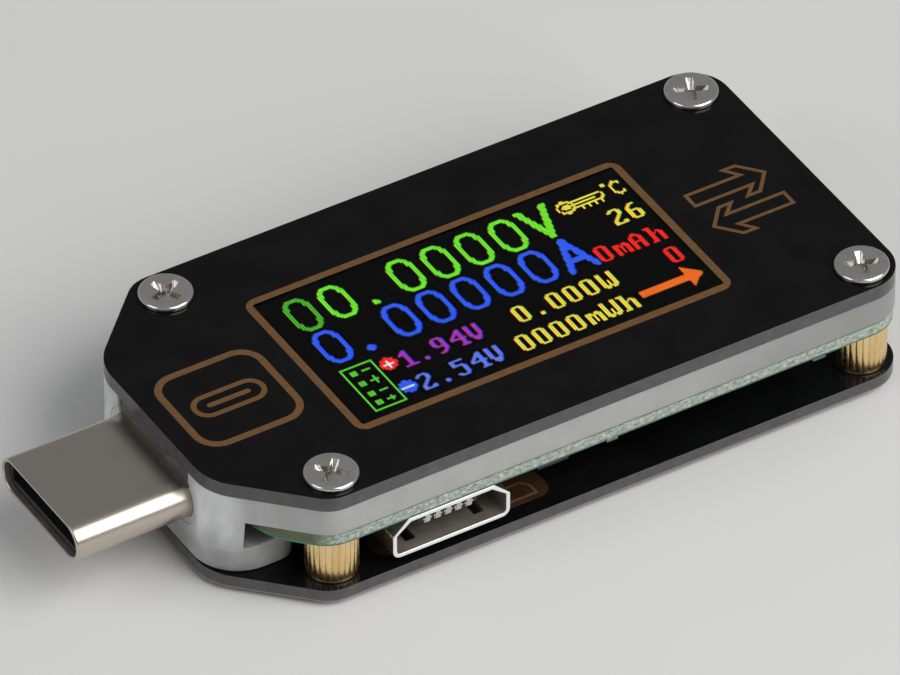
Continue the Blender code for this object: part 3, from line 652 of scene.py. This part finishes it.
def board_outline():
    notch = SOCKET_SIZE[0] / 2 + 0.15
    return rounded(mirrored([
        (SOCKET_BACK - 0.2, notch, 0.3), (TAIL_X - 0.05, notch, 0.3), (TAIL_X - 0.05, SIDE_Y, 2.3),
        (NOSE_X + CHAMFER, SIDE_Y, 2.6), (-20.7, 7.77, 4.5), (-20.7, 4.285, 0),
        (-17.35, 4.285, 0.2), (-17.35, 3.685, 0.2), (-20.7, 3.685, 0),
    ]), 10)


def subdivided(points, step):
    """The same closed outline with a corner at least every step."""
    finer = []
    for index, corner in enumerate(points):
        span = points[(index + 1) % len(points)] - corner
        count = max(1, math.ceil(span.length / step))
        finer += [corner + span * (part / count) for part in range(count)]
    return finer


def build_board():
    """A laminate whose long edges were snapped from a larger panel, so they are torn."""
    outline = subdivided(board_outline(), 0.11)
    if sum(a.cross(b) for a, b in zip(outline, outline[1:])) < 0:
        outline.reverse()
    outward = [(corner - moved).normalized()
               for corner, moved in zip(outline, inset(outline, 0.01))]
    levels = 9
    rings = []
    for level in range(levels + 1):
        share = level / levels
        z = BOARD_LOW + (BOARD_TOP - BOARD_LOW) * share
        ring = []
        for corner, way in zip(outline, outward):
            torn = 1.0 if abs(corner.y) > 10.5 else 0.25
            spot = Vector((corner.x * 3.1, corner.y * 3.1, z * 4.2))
            rough = 0.050 * noise.noise(spot) + 0.030 * noise.noise(spot * 2.7)
            edge = math.sin(math.pi * share) ** 0.3 if 0 < share < 1 else 0
            moved = corner + way * (torn * rough * edge - 0.035)
            ring.append((moved.x, moved.y, z))
        rings.append(ring)
    skin = loft(rings, closed=False)
    for ring, face in ((rings[0], BOARD_LOW), (rings[-1], BOARD_TOP)):
        join(skin, filled([vectors(*(point[:2] for point in ring))] + screw_holes(BORE), face))
    for x, y in SCREWS:
        join(skin, loft([[(a, b, z) for a, b in circle(x, y, BORE)]
                         for z in (BOARD_LOW, BOARD_TOP)], closed=False))
    bmesh.ops.remove_doubles(skin, verts=skin.verts[:], dist=1e-7)
    bmesh.ops.recalc_face_normals(skin, faces=skin.faces[:])
    piece("board_laminate", skin, [MASK, RIM], ["main_board"],
          pick=lambda centre, normal: 0 if abs(normal.z) > 0.8 else 1)

    nubs = bmesh.new()
    for x, z, long, tall in ((-0.285, 3.82, 0.77, 0.20), (12.94, 3.80, 0.90, 0.15)):
        left, right, over = x - long / 2, x + long / 2, z + tall
        nub = rounded([(left, z, 0.06), (right, z, 0.06), (right - 0.08, over, 0.05),
                       (left + 0.05, over, 0.05)], 3)
        prism([nub], -SIDE_Y - 0.05, -SIDE_Y + 0.45, "Y", into=nubs)
    piece("board_nubs", nubs, RIM, bevel=0.03)


# ---- fasteners

def screw_shape(shank):
    """A pan head with a rounded rim and a tapered cross recess."""
    head = turned([
        (0, 0.32), (1.36, 0.32), (1.43, 0.31), (1.49, 0.275), (1.53, 0.21), (1.55, 0.12),
        (1.55, 0.03), (1.52, 0), (0.80, 0), (0.80, -shank + 0.2), (0.60, -shank), (0, -shank),
    ], 64)
    wide, narrow = 1.02, 0.235
    corners = []
    for quarter in range(4):
        turn = Matrix.Rotation(math.pi / 2 * quarter, 2)
        for x, y, radius in ((narrow, -narrow, 0.05), (wide, -narrow, 0.09), (wide, narrow, 0.09)):
            corners.append((*(turn @ Vector((x, y))), radius))
    cross = prism([rounded(corners, 4)], -0.18, 0.36)
    for corner in cross.verts:
        if corner.co.z < 0:
            corner.co.x *= 0.5
            corner.co.y *= 0.5
    return combine(head, (CUT, cross))


def standoff_shape():
    """A sleeve with round vertical ribs that run out into a chamfer at both ends."""
    ribs = 24
    around = ribs * 8
    tall = 3.08
    end = [(0.0, 1.40, 0.0), (0.05, 1.43, 0.0), (0.15, 1.41, 0.0), (0.22, 1.42, 0.01),
           (0.38, 1.50, 0.09)]
    rings = []
    for z, radius, depth in end + [(tall - z, radius, depth) for z, radius, depth in reversed(end)]:
        ring = []
        for side in range(around):
            turn = 2 * math.pi * side / around
            rib = abs(math.sin(ribs * turn / 2)) ** 0.5
            reach = radius - depth * (1 - rib)
            ring.append((reach * math.cos(turn), reach * math.sin(turn), z))
        rings.append(ring)
    for z in (tall, 0.0):
        rings.append([(x, y, z) for x, y in circle(0, 0, BORE, around)])
    return loft(rings)


def build_fasteners():
    def part_of_head(centre, normal):
        if centre.xy.length < 1.0 and -0.2 < centre.z < 0.31:
            return 2
        # The rim takes the lighter nickel, a painted highlight.
        return 1 if centre.xy.length > 1.36 and centre.z > 0 else 0

    looks = [NICKEL, NICKEL_RIM_HIGHLIGHT, NICKEL_CROSS]
    top = screw_shape(4.7)
    bottom = screw_shape(2.2)
    sleeve = to_mesh(standoff_shape())
    for index, (x, y) in enumerate(SCREWS):
        number = index + 1
        piece(f"screw_top_{number}", top.copy(), looks, [f"top_screw_{number}"],
              bevel=0.02, pick=part_of_head, spin=(0, 0, TOP_TURNS[index]),
              at=(x, y, TOP_FACE + FIT))
        piece(f"sleeve_{number}", sleeve.copy(), BRASS, [f"standoff_{number}"],
              at=(x, y, 0.80), spin=(0, 0, 9 * index))
        piece(f"screw_bottom_{number}", bottom.copy(), looks, [f"bottom_screw_{number}"],
              bevel=0.02, pick=part_of_head, spin=(180, 0, BOTTOM_TURNS[index]),
              at=(x, y, -FIT))


# ---- connectors

def lip(front, back, wall, way, ease):
    """The (place, shrink) points round a drawn shell's wall, both arrises of its mouth eased."""
    turns = [math.radians(turn) for turn in range(0, 91, 18)]
    outer = [(front - way * ease * (1 - math.sin(turn)), ease * (1 - math.cos(turn)))
             for turn in turns]
    inner = [(place, wall - shrink) for place, shrink in reversed(outer)]
    return list(dict.fromkeys([(back, 0.0)] + outer + inner + [(back, wall)]))


def inner_wall(axis, middle):
    """Pick the second look, the painted shade inside a shell, for the faces that look in towards a
    shell's axis.
    """
    def pick(centre, normal):
        across = centre - Vector(middle)
        across[axis] = 0
        return 1 if abs(normal[axis]) < 0.3 and normal.dot(across) < 0 else 0
    return pick


def build_plug():
    # Faces inside the shell get painted shade.
    piece("plug_tube", tube(lip(PLUG_FRONT, PLUG_BACK, 0.24, -1, 0.12), PLUG_SIZE, PLUG_Z),
          [STEEL, SHADED_INSIDE], ["plug_shell"], pick=inner_wall(0, (0, 0, PLUG_Z)))
    inner = (PLUG_SIZE[0] - 0.54, PLUG_SIZE[1] - 0.54)
    front = PLUG_FRONT + 0.35
    core = prism([stadium(*inner, PLUG_Z)], front, PLUG_BACK, "X")
    cuts = [(CUT, prism([centred(0, PLUG_Z, 3.42, 0.46, 0.12)], front - 1, -23.6, "X"))]
    for y in PINS:
        for z in (PLUG_Z + 0.46, PLUG_Z - 0.46):
            cuts.append((CUT, block(front + 0.5, y - 0.16, z - 0.12, -24.4, y + 0.16, z + 0.12)))
    piece("plug_core", combine(core, *cuts), RESIN, ["plug_insulator"], bevel=0.03)

    for name, way in ROWS_OF_PINS:
        springs = bmesh.new()
        z = PLUG_Z + way * 0.40
        for y in PINS:
            path = [(front + 0.55, z + way * 0.04), (front + 0.85, z - way * 0.10),
                    (front + 1.15, z - way * 0.04), (-24.2, z + way * 0.06),
                    (-21.1, z + way * 0.06)]
            side = path + [(x, h + way * 0.08) for x, h in reversed(path)]
            prism([vectors(*side)], y - 0.125, y + 0.125, "Y", into=springs)
        piece(f"plug_springs_{name}", springs, GOLD, [f"plug_contacts_{name}"])
    arm = [(-23.63, 3.36), (front + 0.5, 3.38), (front + 0.3, 3.22), (front + 0.5, 3.12),
           (-23.85, 3.14)]
    arms = arm + [(x, -y) for x, y in reversed(arm)]
    piece("plug_side_latch", prism([vectors(*arms)], PLUG_Z - 0.12, PLUG_Z + 0.12), BRIGHT,
          ["plug_latch"], bevel=0.02)


def build_socket():
    shell = tube(lip(TAIL_X, SOCKET_BACK, 0.28, 1, 0.09), SOCKET_SIZE, SOCKET_Z)
    for x in (12.4, 15.9):
        for side in (-1, 1):
            block(x, side * 4.2, 4.75, x + 1.2, side * 5.7, 5.0, into=shell)
    piece("socket_tube", shell, BRIGHT, ["socket_shell"])
    size = (SOCKET_SIZE[0] - 0.62, SOCKET_SIZE[1] - 0.62)
    core = prism([stadium(*size, SOCKET_Z)], SOCKET_BACK + 0.05, 14.4, "X")
    tongue = prism([centred(0, SOCKET_Z, 3.345, 0.35, 0.12)], 13.9, TAIL_X - 0.75, "X")
    collar = prism([centred(0, SOCKET_Z, 3.6, 0.62, 0.25)], 14.0, 15.2, "X")
    piece("socket_core", combine(core, (ADD, collar), (ADD, tongue)), RESIN, ["socket_insulator"],
          bevel=0.05)
    for name, way in ROWS_OF_PINS:
        strips = bmesh.new()
        z = SOCKET_Z + way * 0.35
        low = BOARD_TOP + 0.03 if way > 0 else BOARD_LOW - 0.13
        for index, y in enumerate(PINS):
            long = 0.95 if index in (0, 3, 8, 11) else 1.35
            block(15.1, y - 0.125, z - way * 0.02, TAIL_X - long, y + 0.125, z + way * 0.03,
                  into=strips)
            block(SOCKET_BACK - 1.3, y - 0.11, low, SOCKET_BACK + 0.05, y + 0.11, low + 0.1,
                  into=strips)
        piece(f"socket_strips_{name}", strips, GOLD, [f"socket_contacts_{name}"],
              bevel=0.015)
    plates = bmesh.new()
    for way in (-1, 1):
        block(14.42, -2.9, SOCKET_Z + way * 0.36, 15.0, 2.9, SOCKET_Z + way * 0.62, into=plates)
    piece("socket_collar_plates", plates, BRIGHT, bevel=0.03)


def build_micro_socket():
    rings = [[(a, y, b) for a, b in micro_profile(shrink)]
             for y, shrink in lip(MICRO_FRONT, MICRO_BACK, 0.25, -1, 0.05)]
    tabs, slots = bmesh.new(), bmesh.new()
    for side in (-1, 1):
        block(MICRO_X + side * 2.6, -8.8, 3.63, MICRO_X + side * 4.5, -7.4, 3.88, into=tabs)
        x = MICRO_X + side * 2.15
        block(x - 0.32, MICRO_FRONT + 0.75, 1.2, x + 0.32, MICRO_FRONT + 2.35, 1.9, into=slots)
    shell = combine(loft(rings), (CUT, slots), (ADD, tabs))
    inside = inner_wall(1, (MICRO_X, 0, 2.6))
    # Faces looking in get painted shade, and faces looking forward a painted highlight.
    piece("micro_tube", shell, [BRIGHT, SHADED_INSIDE, LIT_FRONT_STEEL], ["micro_usb_shell"],
          pick=lambda centre, normal: 2 if normal.y < -0.6 else inside(centre, normal))
    root = MICRO_FRONT + 3.1
    core = prism([micro_profile(0.28)], root, MICRO_BACK - 0.05, "Y")
    tongue = prism([rectangle(MICRO_X - 1.85, 2.92, MICRO_X + 1.85, 3.42, 0.08)],
                   MICRO_FRONT + 0.45, root + 0.5, "Y")
    piece("micro_core", combine(core, (ADD, tongue)), RESIN, ["micro_usb_insulator"],
          bevel=0.03)
    strips = bmesh.new()
    for index in range(5):
        x = MICRO_X + 0.65 * (index - 2)
        for half, y0, z0, y1, z1 in ((0.21, MICRO_FRONT + 0.40, 2.80, root + 0.1, 2.93),
                                     (0.15, MICRO_FRONT + 0.34, 2.84, MICRO_FRONT + 0.50, 3.30),
                                     (0.27, MICRO_FRONT + 0.37, 3.00, MICRO_FRONT + 0.49, 3.14),
                                     (0.15, MICRO_BACK - 0.1, 3.72, MICRO_BACK + 0.9, 3.86)):
            block(x - half, y0, z0, x + half, y1, z1, into=strips)
    piece("micro_strips", strips, TIN, ["micro_usb_contacts"], bevel=0.02)


def build_key():
    base = prism([rectangle(KEY_X - 2.35, 7.4, KEY_X + 2.35, 9.6, 0.15)], 1.95, 3.88)
    cavity = block(KEY_X - 1.75, 7.9, KEY_Z - 0.74, KEY_X + 1.75, 10.6, KEY_Z + 0.74)
    piece("key_body", combine(base, (CUT, cavity)), RESIN, ["key_base"], bevel=0.04)
    face = 9.62
    outer = [(-2.55, 7.9), (-2.37, 7.9), (-2.37, face), (2.37, face), (2.37, 7.9), (2.55, 7.9),
             (2.55, face + 0.08), (2.45, face + 0.18), (-2.45, face + 0.18), (-2.55, face + 0.08)]
    wrap = prism([vectors(*((KEY_X + x, y) for x, y in outer))], 1.95, 3.88)
    hole = prism([centred(KEY_X, KEY_Z, 1.13, 0.63, 0.2)], face - 0.3, face + 1, "Y")
    piece("key_plate", combine(wrap, (CUT, hole)), BRIGHT, ["key_cover"], bevel=0.03)
    legs = bmesh.new()
    for side in (-1, 1):
        block(KEY_X + side * 2.35, 8.1, 3.72, KEY_X + side * 3.0, 8.9, 3.88, into=legs)
    piece("key_legs", legs, TIN, bevel=0.03)
    cap = prism([centred(KEY_X, KEY_Z, 1.05, 0.55, 0.22)], 9.3, 11.05, "Y")
    collar = prism([centred(KEY_X, KEY_Z, 1.5, 0.66, 0.1)], 9.24, 9.59, "Y")
    stem = block(KEY_X - 0.4, 8.79, KEY_Z - 0.4, KEY_X + 0.4, 9.4, KEY_Z + 0.4)
    piece("key_button", combine(cap, (ADD, collar), (ADD, stem)), PLASTIC, ["key_plunger"],
          body="key", bevel=0.09)


# ---- what the display shows

# Each sign is ten rows of seven dots.
GLYPHS = {
    "0": ".####.." + 8 * "##..##." + ".####..",
    "1": "...##.." + "..###.." + ".####.." + 6 * "...##.." + ".######",
    "2": ".####.." + "##..##." + 2 * "....##." + "...##.." + "..##..." + ".##...." + "##....."
         + "##..##." + "######.",
    "4": "....##." + "...###." + "..####." + ".##.##." + "##..##." + "#######" + 3 * "....##."
         + "...####",
    "5": "######." + 2 * "##....." + "#####.." + 4 * "....##." + "##..##." + ".####..",
    "6": "..###.." + ".##...." + 2 * "##....." + "#####.." + 4 * "##..##." + ".####..",
    "9": ".####.." + 4 * "##..##." + ".#####." + 2 * "....##." + "...##.." + ".###...",
    ".": 8 * "......." + 2 * "..##...",
    "V": 7 * "##..##." + 2 * ".####.." + "..##...",
    "W": 5 * "##...##" + 3 * "##.#.##" + "#######" + ".##.##.",
    "A": "..##..." + ".####.." + 3 * "##..##." + "######." + 4 * "##..##.",
    "m": 3 * "......." + "###.##." + "#######" + 4 * "##.#.##" + "##...##",
    "h": "###...." + 2 * ".##...." + ".##.##." + ".###.##" + 4 * ".##..##" + "###..##",
}
lit = {}


def dots(colour, cells):
    lit.setdefault(colour, set()).update(cells)


def text(colour, string, left, top):
    for index, letter in enumerate(string):
        for place, mark in enumerate(GLYPHS.get(letter, "")):
            if mark == "#":
                dots(colour, [(round(left) + 8 * index + place % 7, round(top) + place // 7)])


def stroke(colour, path, width, closed=False):
    """Light every dot whose middle lies within half a width of the path."""
    path = vectors(*path)
    spans = list(zip(path, path[1:] + path[:1] if closed else path[1:]))
    reach = math.ceil(width)
    left, right = (int(end(point.x for point in path)) for end in (min, max))
    top, bottom = (int(end(point.y for point in path)) for end in (min, max))
    for column in range(max(left - reach, 0), min(right + reach + 1, COLUMNS)):
        for row in range(max(top - reach, 0), min(bottom + reach + 1, ROWS)):
            spot = Vector((column + 0.5, row + 0.5))
            for start, end in spans:
                span = end - start
                share = min(max((spot - start).dot(span) / span.length_squared, 0), 1)
                if (spot - start - span * share).length <= width / 2:
                    dots(colour, [(column, row)])
                    break


def fill(colour, path):
    """Light every dot whose middle lies inside the path."""
    for column in range(COLUMNS):
        for row in range(ROWS):
            x, y = column + 0.5, row + 0.5
            inside = False
            for start, end in zip(path, path[1:] + path[:1]):
                if (start.y > y) != (end.y > y):
                    if x < start.x + (y - start.y) * (end.x - start.x) / (end.y - start.y):
                        inside = not inside
            if inside:
                dots(colour, [(column, row)])


def big_zero(colour, cell, top):
    """A ring between an ellipse and a rectangle."""
    def bent(value):
        return math.copysign(abs(value) ** 0.72, value)

    turns = [2 * math.pi * step / 28 for step in range(28)]
    stroke(colour, [(16 * cell + 8 + 5.0 * bent(math.cos(turn)),
                     top + 10.5 + 9.5 * bent(math.sin(turn))) for turn in turns], 2.4, closed=True)


def draw_screen():
    for cell in (0, 1, 3, 4, 5, 6):
        big_zero("dim_green" if cell == 0 else "green", cell, 2)
    for cell in (0, 2, 3, 4, 5, 6):
        big_zero("blue", cell, 25)
    for colour, x, y, radius, sides in (
            ("green", 37.3, 20.7, 1.7, 12), ("blue", 21, 44, 1.7, 12),
            ("yellow", 133.2, 9.5, 1.7, 12), ("red", 21.8, 56.2, 4.0, 8),
            ("blue", 21.2, 72.2, 4.0, 8)):
        fill(colour, circle(x, y, radius, sides))
    for colour, string, left, top in (
            ("yellow", "26", 145, 20.5), ("red", "0mAh", 128, 36.8), ("red", "0", 152, 52),
            ("yellow", "0.000W", 80, 52), ("yellow", "0000mWh", 72, 67.5),
            ("magenta", "1.94V", 26, 51.6), ("pale_blue", "2.54V", 26, 67.5)):
        text(colour, string, left, top)
    for colour, width, *path in (
            ("green", 3.0, (113.8, 3), (119.5, 21.5), (125.2, 3)),
            ("blue", 3.0, (114.3, 45.5), (120, 26.5), (125.7, 45.5)),
            ("blue", 2.4, (116.5, 39.5), (123.5, 39.5)),
            ("yellow", 1.0, (136.5, 7.3), (149.5, 7.3), (151, 9.3), (149.5, 11.2), (136.5, 11.2)),
            ("yellow", 1.0, (135, 9.4), (147, 9.4)),
            ("yellow", 1.1, (159.7, 6), (157.5, 5), (155.7, 7), (155.7, 11), (157.5, 13),
             (159.7, 12)),
            ("white", 1.1, (19.5, 56.2), (24, 56.2)),
            ("white", 1.1, (21.8, 54), (21.8, 58.4)),
            ("white", 1.1, (18.8, 72.2), (23.4, 72.2))):
        stroke(colour, path, width)
    stroke("yellow", circle(133.2, 9.5, 3.6, 16), 1.1, closed=True)
    for tick in range(4):
        stroke("yellow", [(139.5 + 3 * tick, 12.5), (139.5 + 3 * tick, 13.5)], 1.0)
    fill("yellow", rectangle(152, 4, 154, 6))
    fill("orange", vectors((130, 70), (152.5, 70), (152.5, 65), (159.4, 71.7), (152.5, 78.3),
                           (152.5, 73.6), (130, 73.6)))
    stroke("box_green", rectangle(2.5, 50.5, 16.5, 78.5), 0.9, closed=True)
    for index, row in enumerate((53, 60, 67, 73)):
        fill("box_green", rectangle(4.9, row, 8.1, row + 3))
        stroke("box_green", [(10.4, row + 1.5), (13.8, row + 1.5)], 1.0)
        if index % 2:
            stroke("box_green", [(12.1, row - 0.2), (12.1, row + 3.2)], 1.0)
    for colour in ("red", "blue"):
        lit[colour] -= lit["white"]


SCREEN_COLOURS = {
    "green": (0.16, 0.78, 0.02), "dim_green": (0.055, 0.40, 0.012), "blue": (0.02, 0.10, 0.90),
    "yellow": (0.78, 0.70, 0.06), "red": (0.80, 0.012, 0.003), "orange": (0.84, 0.14, 0.006),
    "magenta": (0.34, 0.03, 0.50), "pale_blue": (0.11, 0.19, 0.80), "box_green": (0.08, 0.54, 0.02),
    "white": (0.85, 0.85, 0.85),
}


def glow(name, colour):
    """A lit dot: red, green and blue stripes side by side, softened by the sheet above them."""
    made, tree, shader = principled("dots_" + name)
    shader.inputs["Base Color"].default_value = (0.002, 0.002, 0.002, 1)
    shader.inputs["Roughness"].default_value = 0.5
    place = node(tree, "Math", {0: own(tree, "X"), 1: -PIXELS_X * MM}, operation="ADD")
    share = node(tree, "Math", {0: place.outputs[0], 1: PIXEL * MM}, operation="DIVIDE")
    part = node(tree, "Math", {0: share.outputs[0]}, operation="FRACT")
    red, green, blue = colour
    strength, spill = 2.4, 0.25
    stripes = ramp(tree, part.outputs[0], [
        (0.0, (red * strength, green * spill, blue * spill)),
        (0.333, (red * spill, green * strength, blue * spill)),
        (0.667, (red * spill, green * spill, blue * strength))], "CONSTANT")
    tree.links.new(stripes, shader.inputs["Emission Color"])
    shader.inputs["Emission Strength"].default_value = 1.0
    return made


def build_screen():
    """Sheets of lit dots, one for each colour, and the film under them."""
    draw_screen()
    for colour, cells in sorted(lit.items()):
        sheet = bmesh.new()
        for row in range(ROWS):
            columns = sorted(column for column, each in cells if each == row and column < COLUMNS)
            while columns:
                first = last = columns.pop(0)
                while columns and columns[0] == last + 1:
                    last = columns.pop(0)
                low = Vector((PIXELS_X + first * PIXEL, PIXELS_Y - (row + 1) * PIXEL, PIXEL_Z))
                size = Vector(((last + 1 - first) * PIXEL, PIXEL, 0.004))
                bmesh.ops.create_cube(sheet, size=1, matrix=Matrix.LocRotScale(
                    (low + size / 2) * MM, None, size * MM))
        piece(f"screen_{colour}", sheet, glow(colour, SCREEN_COLOURS[colour]))
    piece("display_front_film", prism([rectangle(*FILM_AREA, 0.1)], 6.14, 6.36), LCD,
          ["display_polarizer"])


# ---- components under the board

def part_under(name, x, y, length, width, tall, leads=0, lead_side="y", look=EPOXY, caps=False):
    """A moulded package hanging from the board, with its leads, pads or end caps."""
    top = BOARD_LOW - 0.03
    low = top - tall
    body = prism([centred(x, y, length / 2, width / 2, 0.06)], low, top - 0.06)
    for corner in body.verts:
        if corner.co.z < (low + tall * 0.4) * MM:
            corner.co.x -= math.copysign(0.07 * MM, corner.co.x - x * MM)
            corner.co.y -= math.copysign(0.07 * MM, corner.co.y - y * MM)
    piece("body_" + name, body, look, [name], bevel=0.05)
    metal = bmesh.new()

    def pad(a0, b0, a1, b1, foot, turned_over):
        """A block beside the package, its first axis along x or, turned over, along y."""
        corners = (b0, a0, b1, a1) if turned_over else (a0, b0, a1, b1)
        block(x + corners[0], y + corners[1], foot, x + corners[2], y + corners[3], top, into=metal)

    for side in (-1, 1):
        if caps:
            long, half = max(length, width), min(length, width) / 2 + 0.02
            pad(side * (long / 2 + 0.02), -half, side * (long / 2 - 0.18 * long), half, low - 0.02,
                width >= length)
        over = lead_side == "y"
        span, out = (length, width / 2) if over else (width, length / 2)
        pitch = span / (leads + 0.4)
        for index in range(leads):
            place, half = pitch * (index - (leads - 1) / 2), pitch * 0.22
            pad(side * (out - 0.15), place - half, side * (out + 0.35), place + half, top - 0.16,
                over)
    if caps or leads:
        piece("leads_" + name, metal, TIN, bevel=0.03)
    else:
        metal.free()


def build_components():
    part_under("microcontroller", 0.6, 0.4, 7.0, 7.0, 1.0, leads=12)
    part_under("memory_chip", -10.2, 3.6, 4.9, 3.9, 1.5, leads=4)
    part_under("current_sense_amplifier", 7.4, 4.6, 3.0, 3.0, 0.9, leads=5)
    part_under("voltage_regulator", 8.4, -5.2, 4.5, 2.5, 1.5, leads=3)
    part_under("fast_charge_controller", -11.2, -2.0, 3.0, 3.0, 0.8, leads=4)
    # The diode's body colour holds a painted reflection.
    part_under("protection_diode", -3.25, -8.7, 2.1, 1.6, 1.35, leads=1, lead_side="x",
               look=DIODE_BODY_AND_REFLECTION)
    part_under("shunt_resistor", -15.9, 0.0, 3.2, 6.3, 0.6, caps=True)
    part_under("crystal", -0.4, -5.4, 3.2, 2.5, 0.8, look=BRIGHT)
    part_under("inductor", 3.4, -7.6, 3.0, 3.0, 1.4, caps=True)
    part_under("input_capacitor", -14.2, 6.0, 1.6, 3.2, 1.5, look=CERAMIC, caps=True)
    part_under("output_capacitor", 8.3, 0.2, 1.6, 3.2, 1.5, look=CERAMIC, caps=True)
    part_under("divider_resistor_high", -5.6, 3.4, 1.0, 0.5, 0.35, caps=True)
    part_under("divider_resistor_low", -5.6, 2.0, 1.0, 0.5, 0.35, caps=True)


def dress_hidden_nodes():
    """CAD nodes that still show inside the stack get detailed looks in their own slots."""
    for name, look in (("display_tape", TAPE), ("display_backlight", FRAME),
                       ("display_glass", GLASS), ("display_flex", FILM), ("key_dome", GOLD)):
        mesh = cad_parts[name].data
        mesh.materials.clear()
        mesh.materials.append(look)


# ---- stage

def softbox(name, place, side, power, colour):
    """A square light that looks at the middle of the object."""
    light = bpy.data.lights.new(name, "AREA")
    light.size = side
    light.energy = power
    light.color = colour
    item = linked(name, light)
    item.location = place
    item.rotation_mode = "QUATERNION"
    item.rotation_quaternion = (Vector((0, 0, 0.004)) - item.location).to_track_quat("-Z", "Y")


def build_stage():
    scene = bpy.context.scene
    floor_mesh = bpy.data.meshes.new("floor")
    reach, drop = 2.0, -0.02 * MM
    floor_mesh.from_pydata([(-reach, -reach, drop), (reach, -reach, drop), (reach, reach, drop),
                            (-reach, reach, drop)], [], [(0, 1, 2, 3)])
    floor = linked("floor", floor_mesh)
    floor_mesh.materials.append(surface("floor_pale", (0.75, 0.75, 0.74), (0.78, 0.78, 0.77),
                                        (0.7, 0.8), 0.02))

    world = bpy.data.worlds.new("studio")
    scene.world = world
    world.use_nodes = True
    background = world.node_tree.nodes["Background"]
    background.inputs["Color"].default_value = (0.95, 0.97, 1.0, 1)
    background.inputs["Strength"].default_value = 0.26

    softbox("front_softbox", Vector((0.21, -0.35, 0.38)), 0.50, 2.9, (1.0, 0.99, 0.97))
    softbox("left_softbox", Vector((-0.42, -0.02, 0.26)), 0.28, 0.35, (0.97, 0.99, 1.0))

    azimuth, elevation = math.radians(-31.176), math.radians(40.014)
    back = Vector((math.sin(azimuth) * math.cos(elevation),
                   -math.cos(azimuth) * math.cos(elevation), math.sin(elevation)))
    right = Vector((math.cos(azimuth), math.sin(azimuth), 0))
    up = back.cross(right)
    lens = bpy.data.cameras.new("camera")
    lens.lens = 567.7
    lens.sensor_width = 36
    lens.clip_start, lens.clip_end = 0.05, 10
    camera = linked("camera", lens)
    place = right * -3.483 + up * 2.508 + back * 776.07
    turn = Matrix((right, up, back)).transposed().to_4x4()
    camera.matrix_world = Matrix.Translation(BASE + place * MM) @ turn
    scene.camera = camera
    scene.view_settings.view_transform = "Standard"


build_panels()
build_prints()
build_spacer()
build_board()
build_fasteners()
build_plug()
build_socket()
build_micro_socket()
build_key()
build_screen()
build_components()
dress_hidden_nodes()
build_stage()
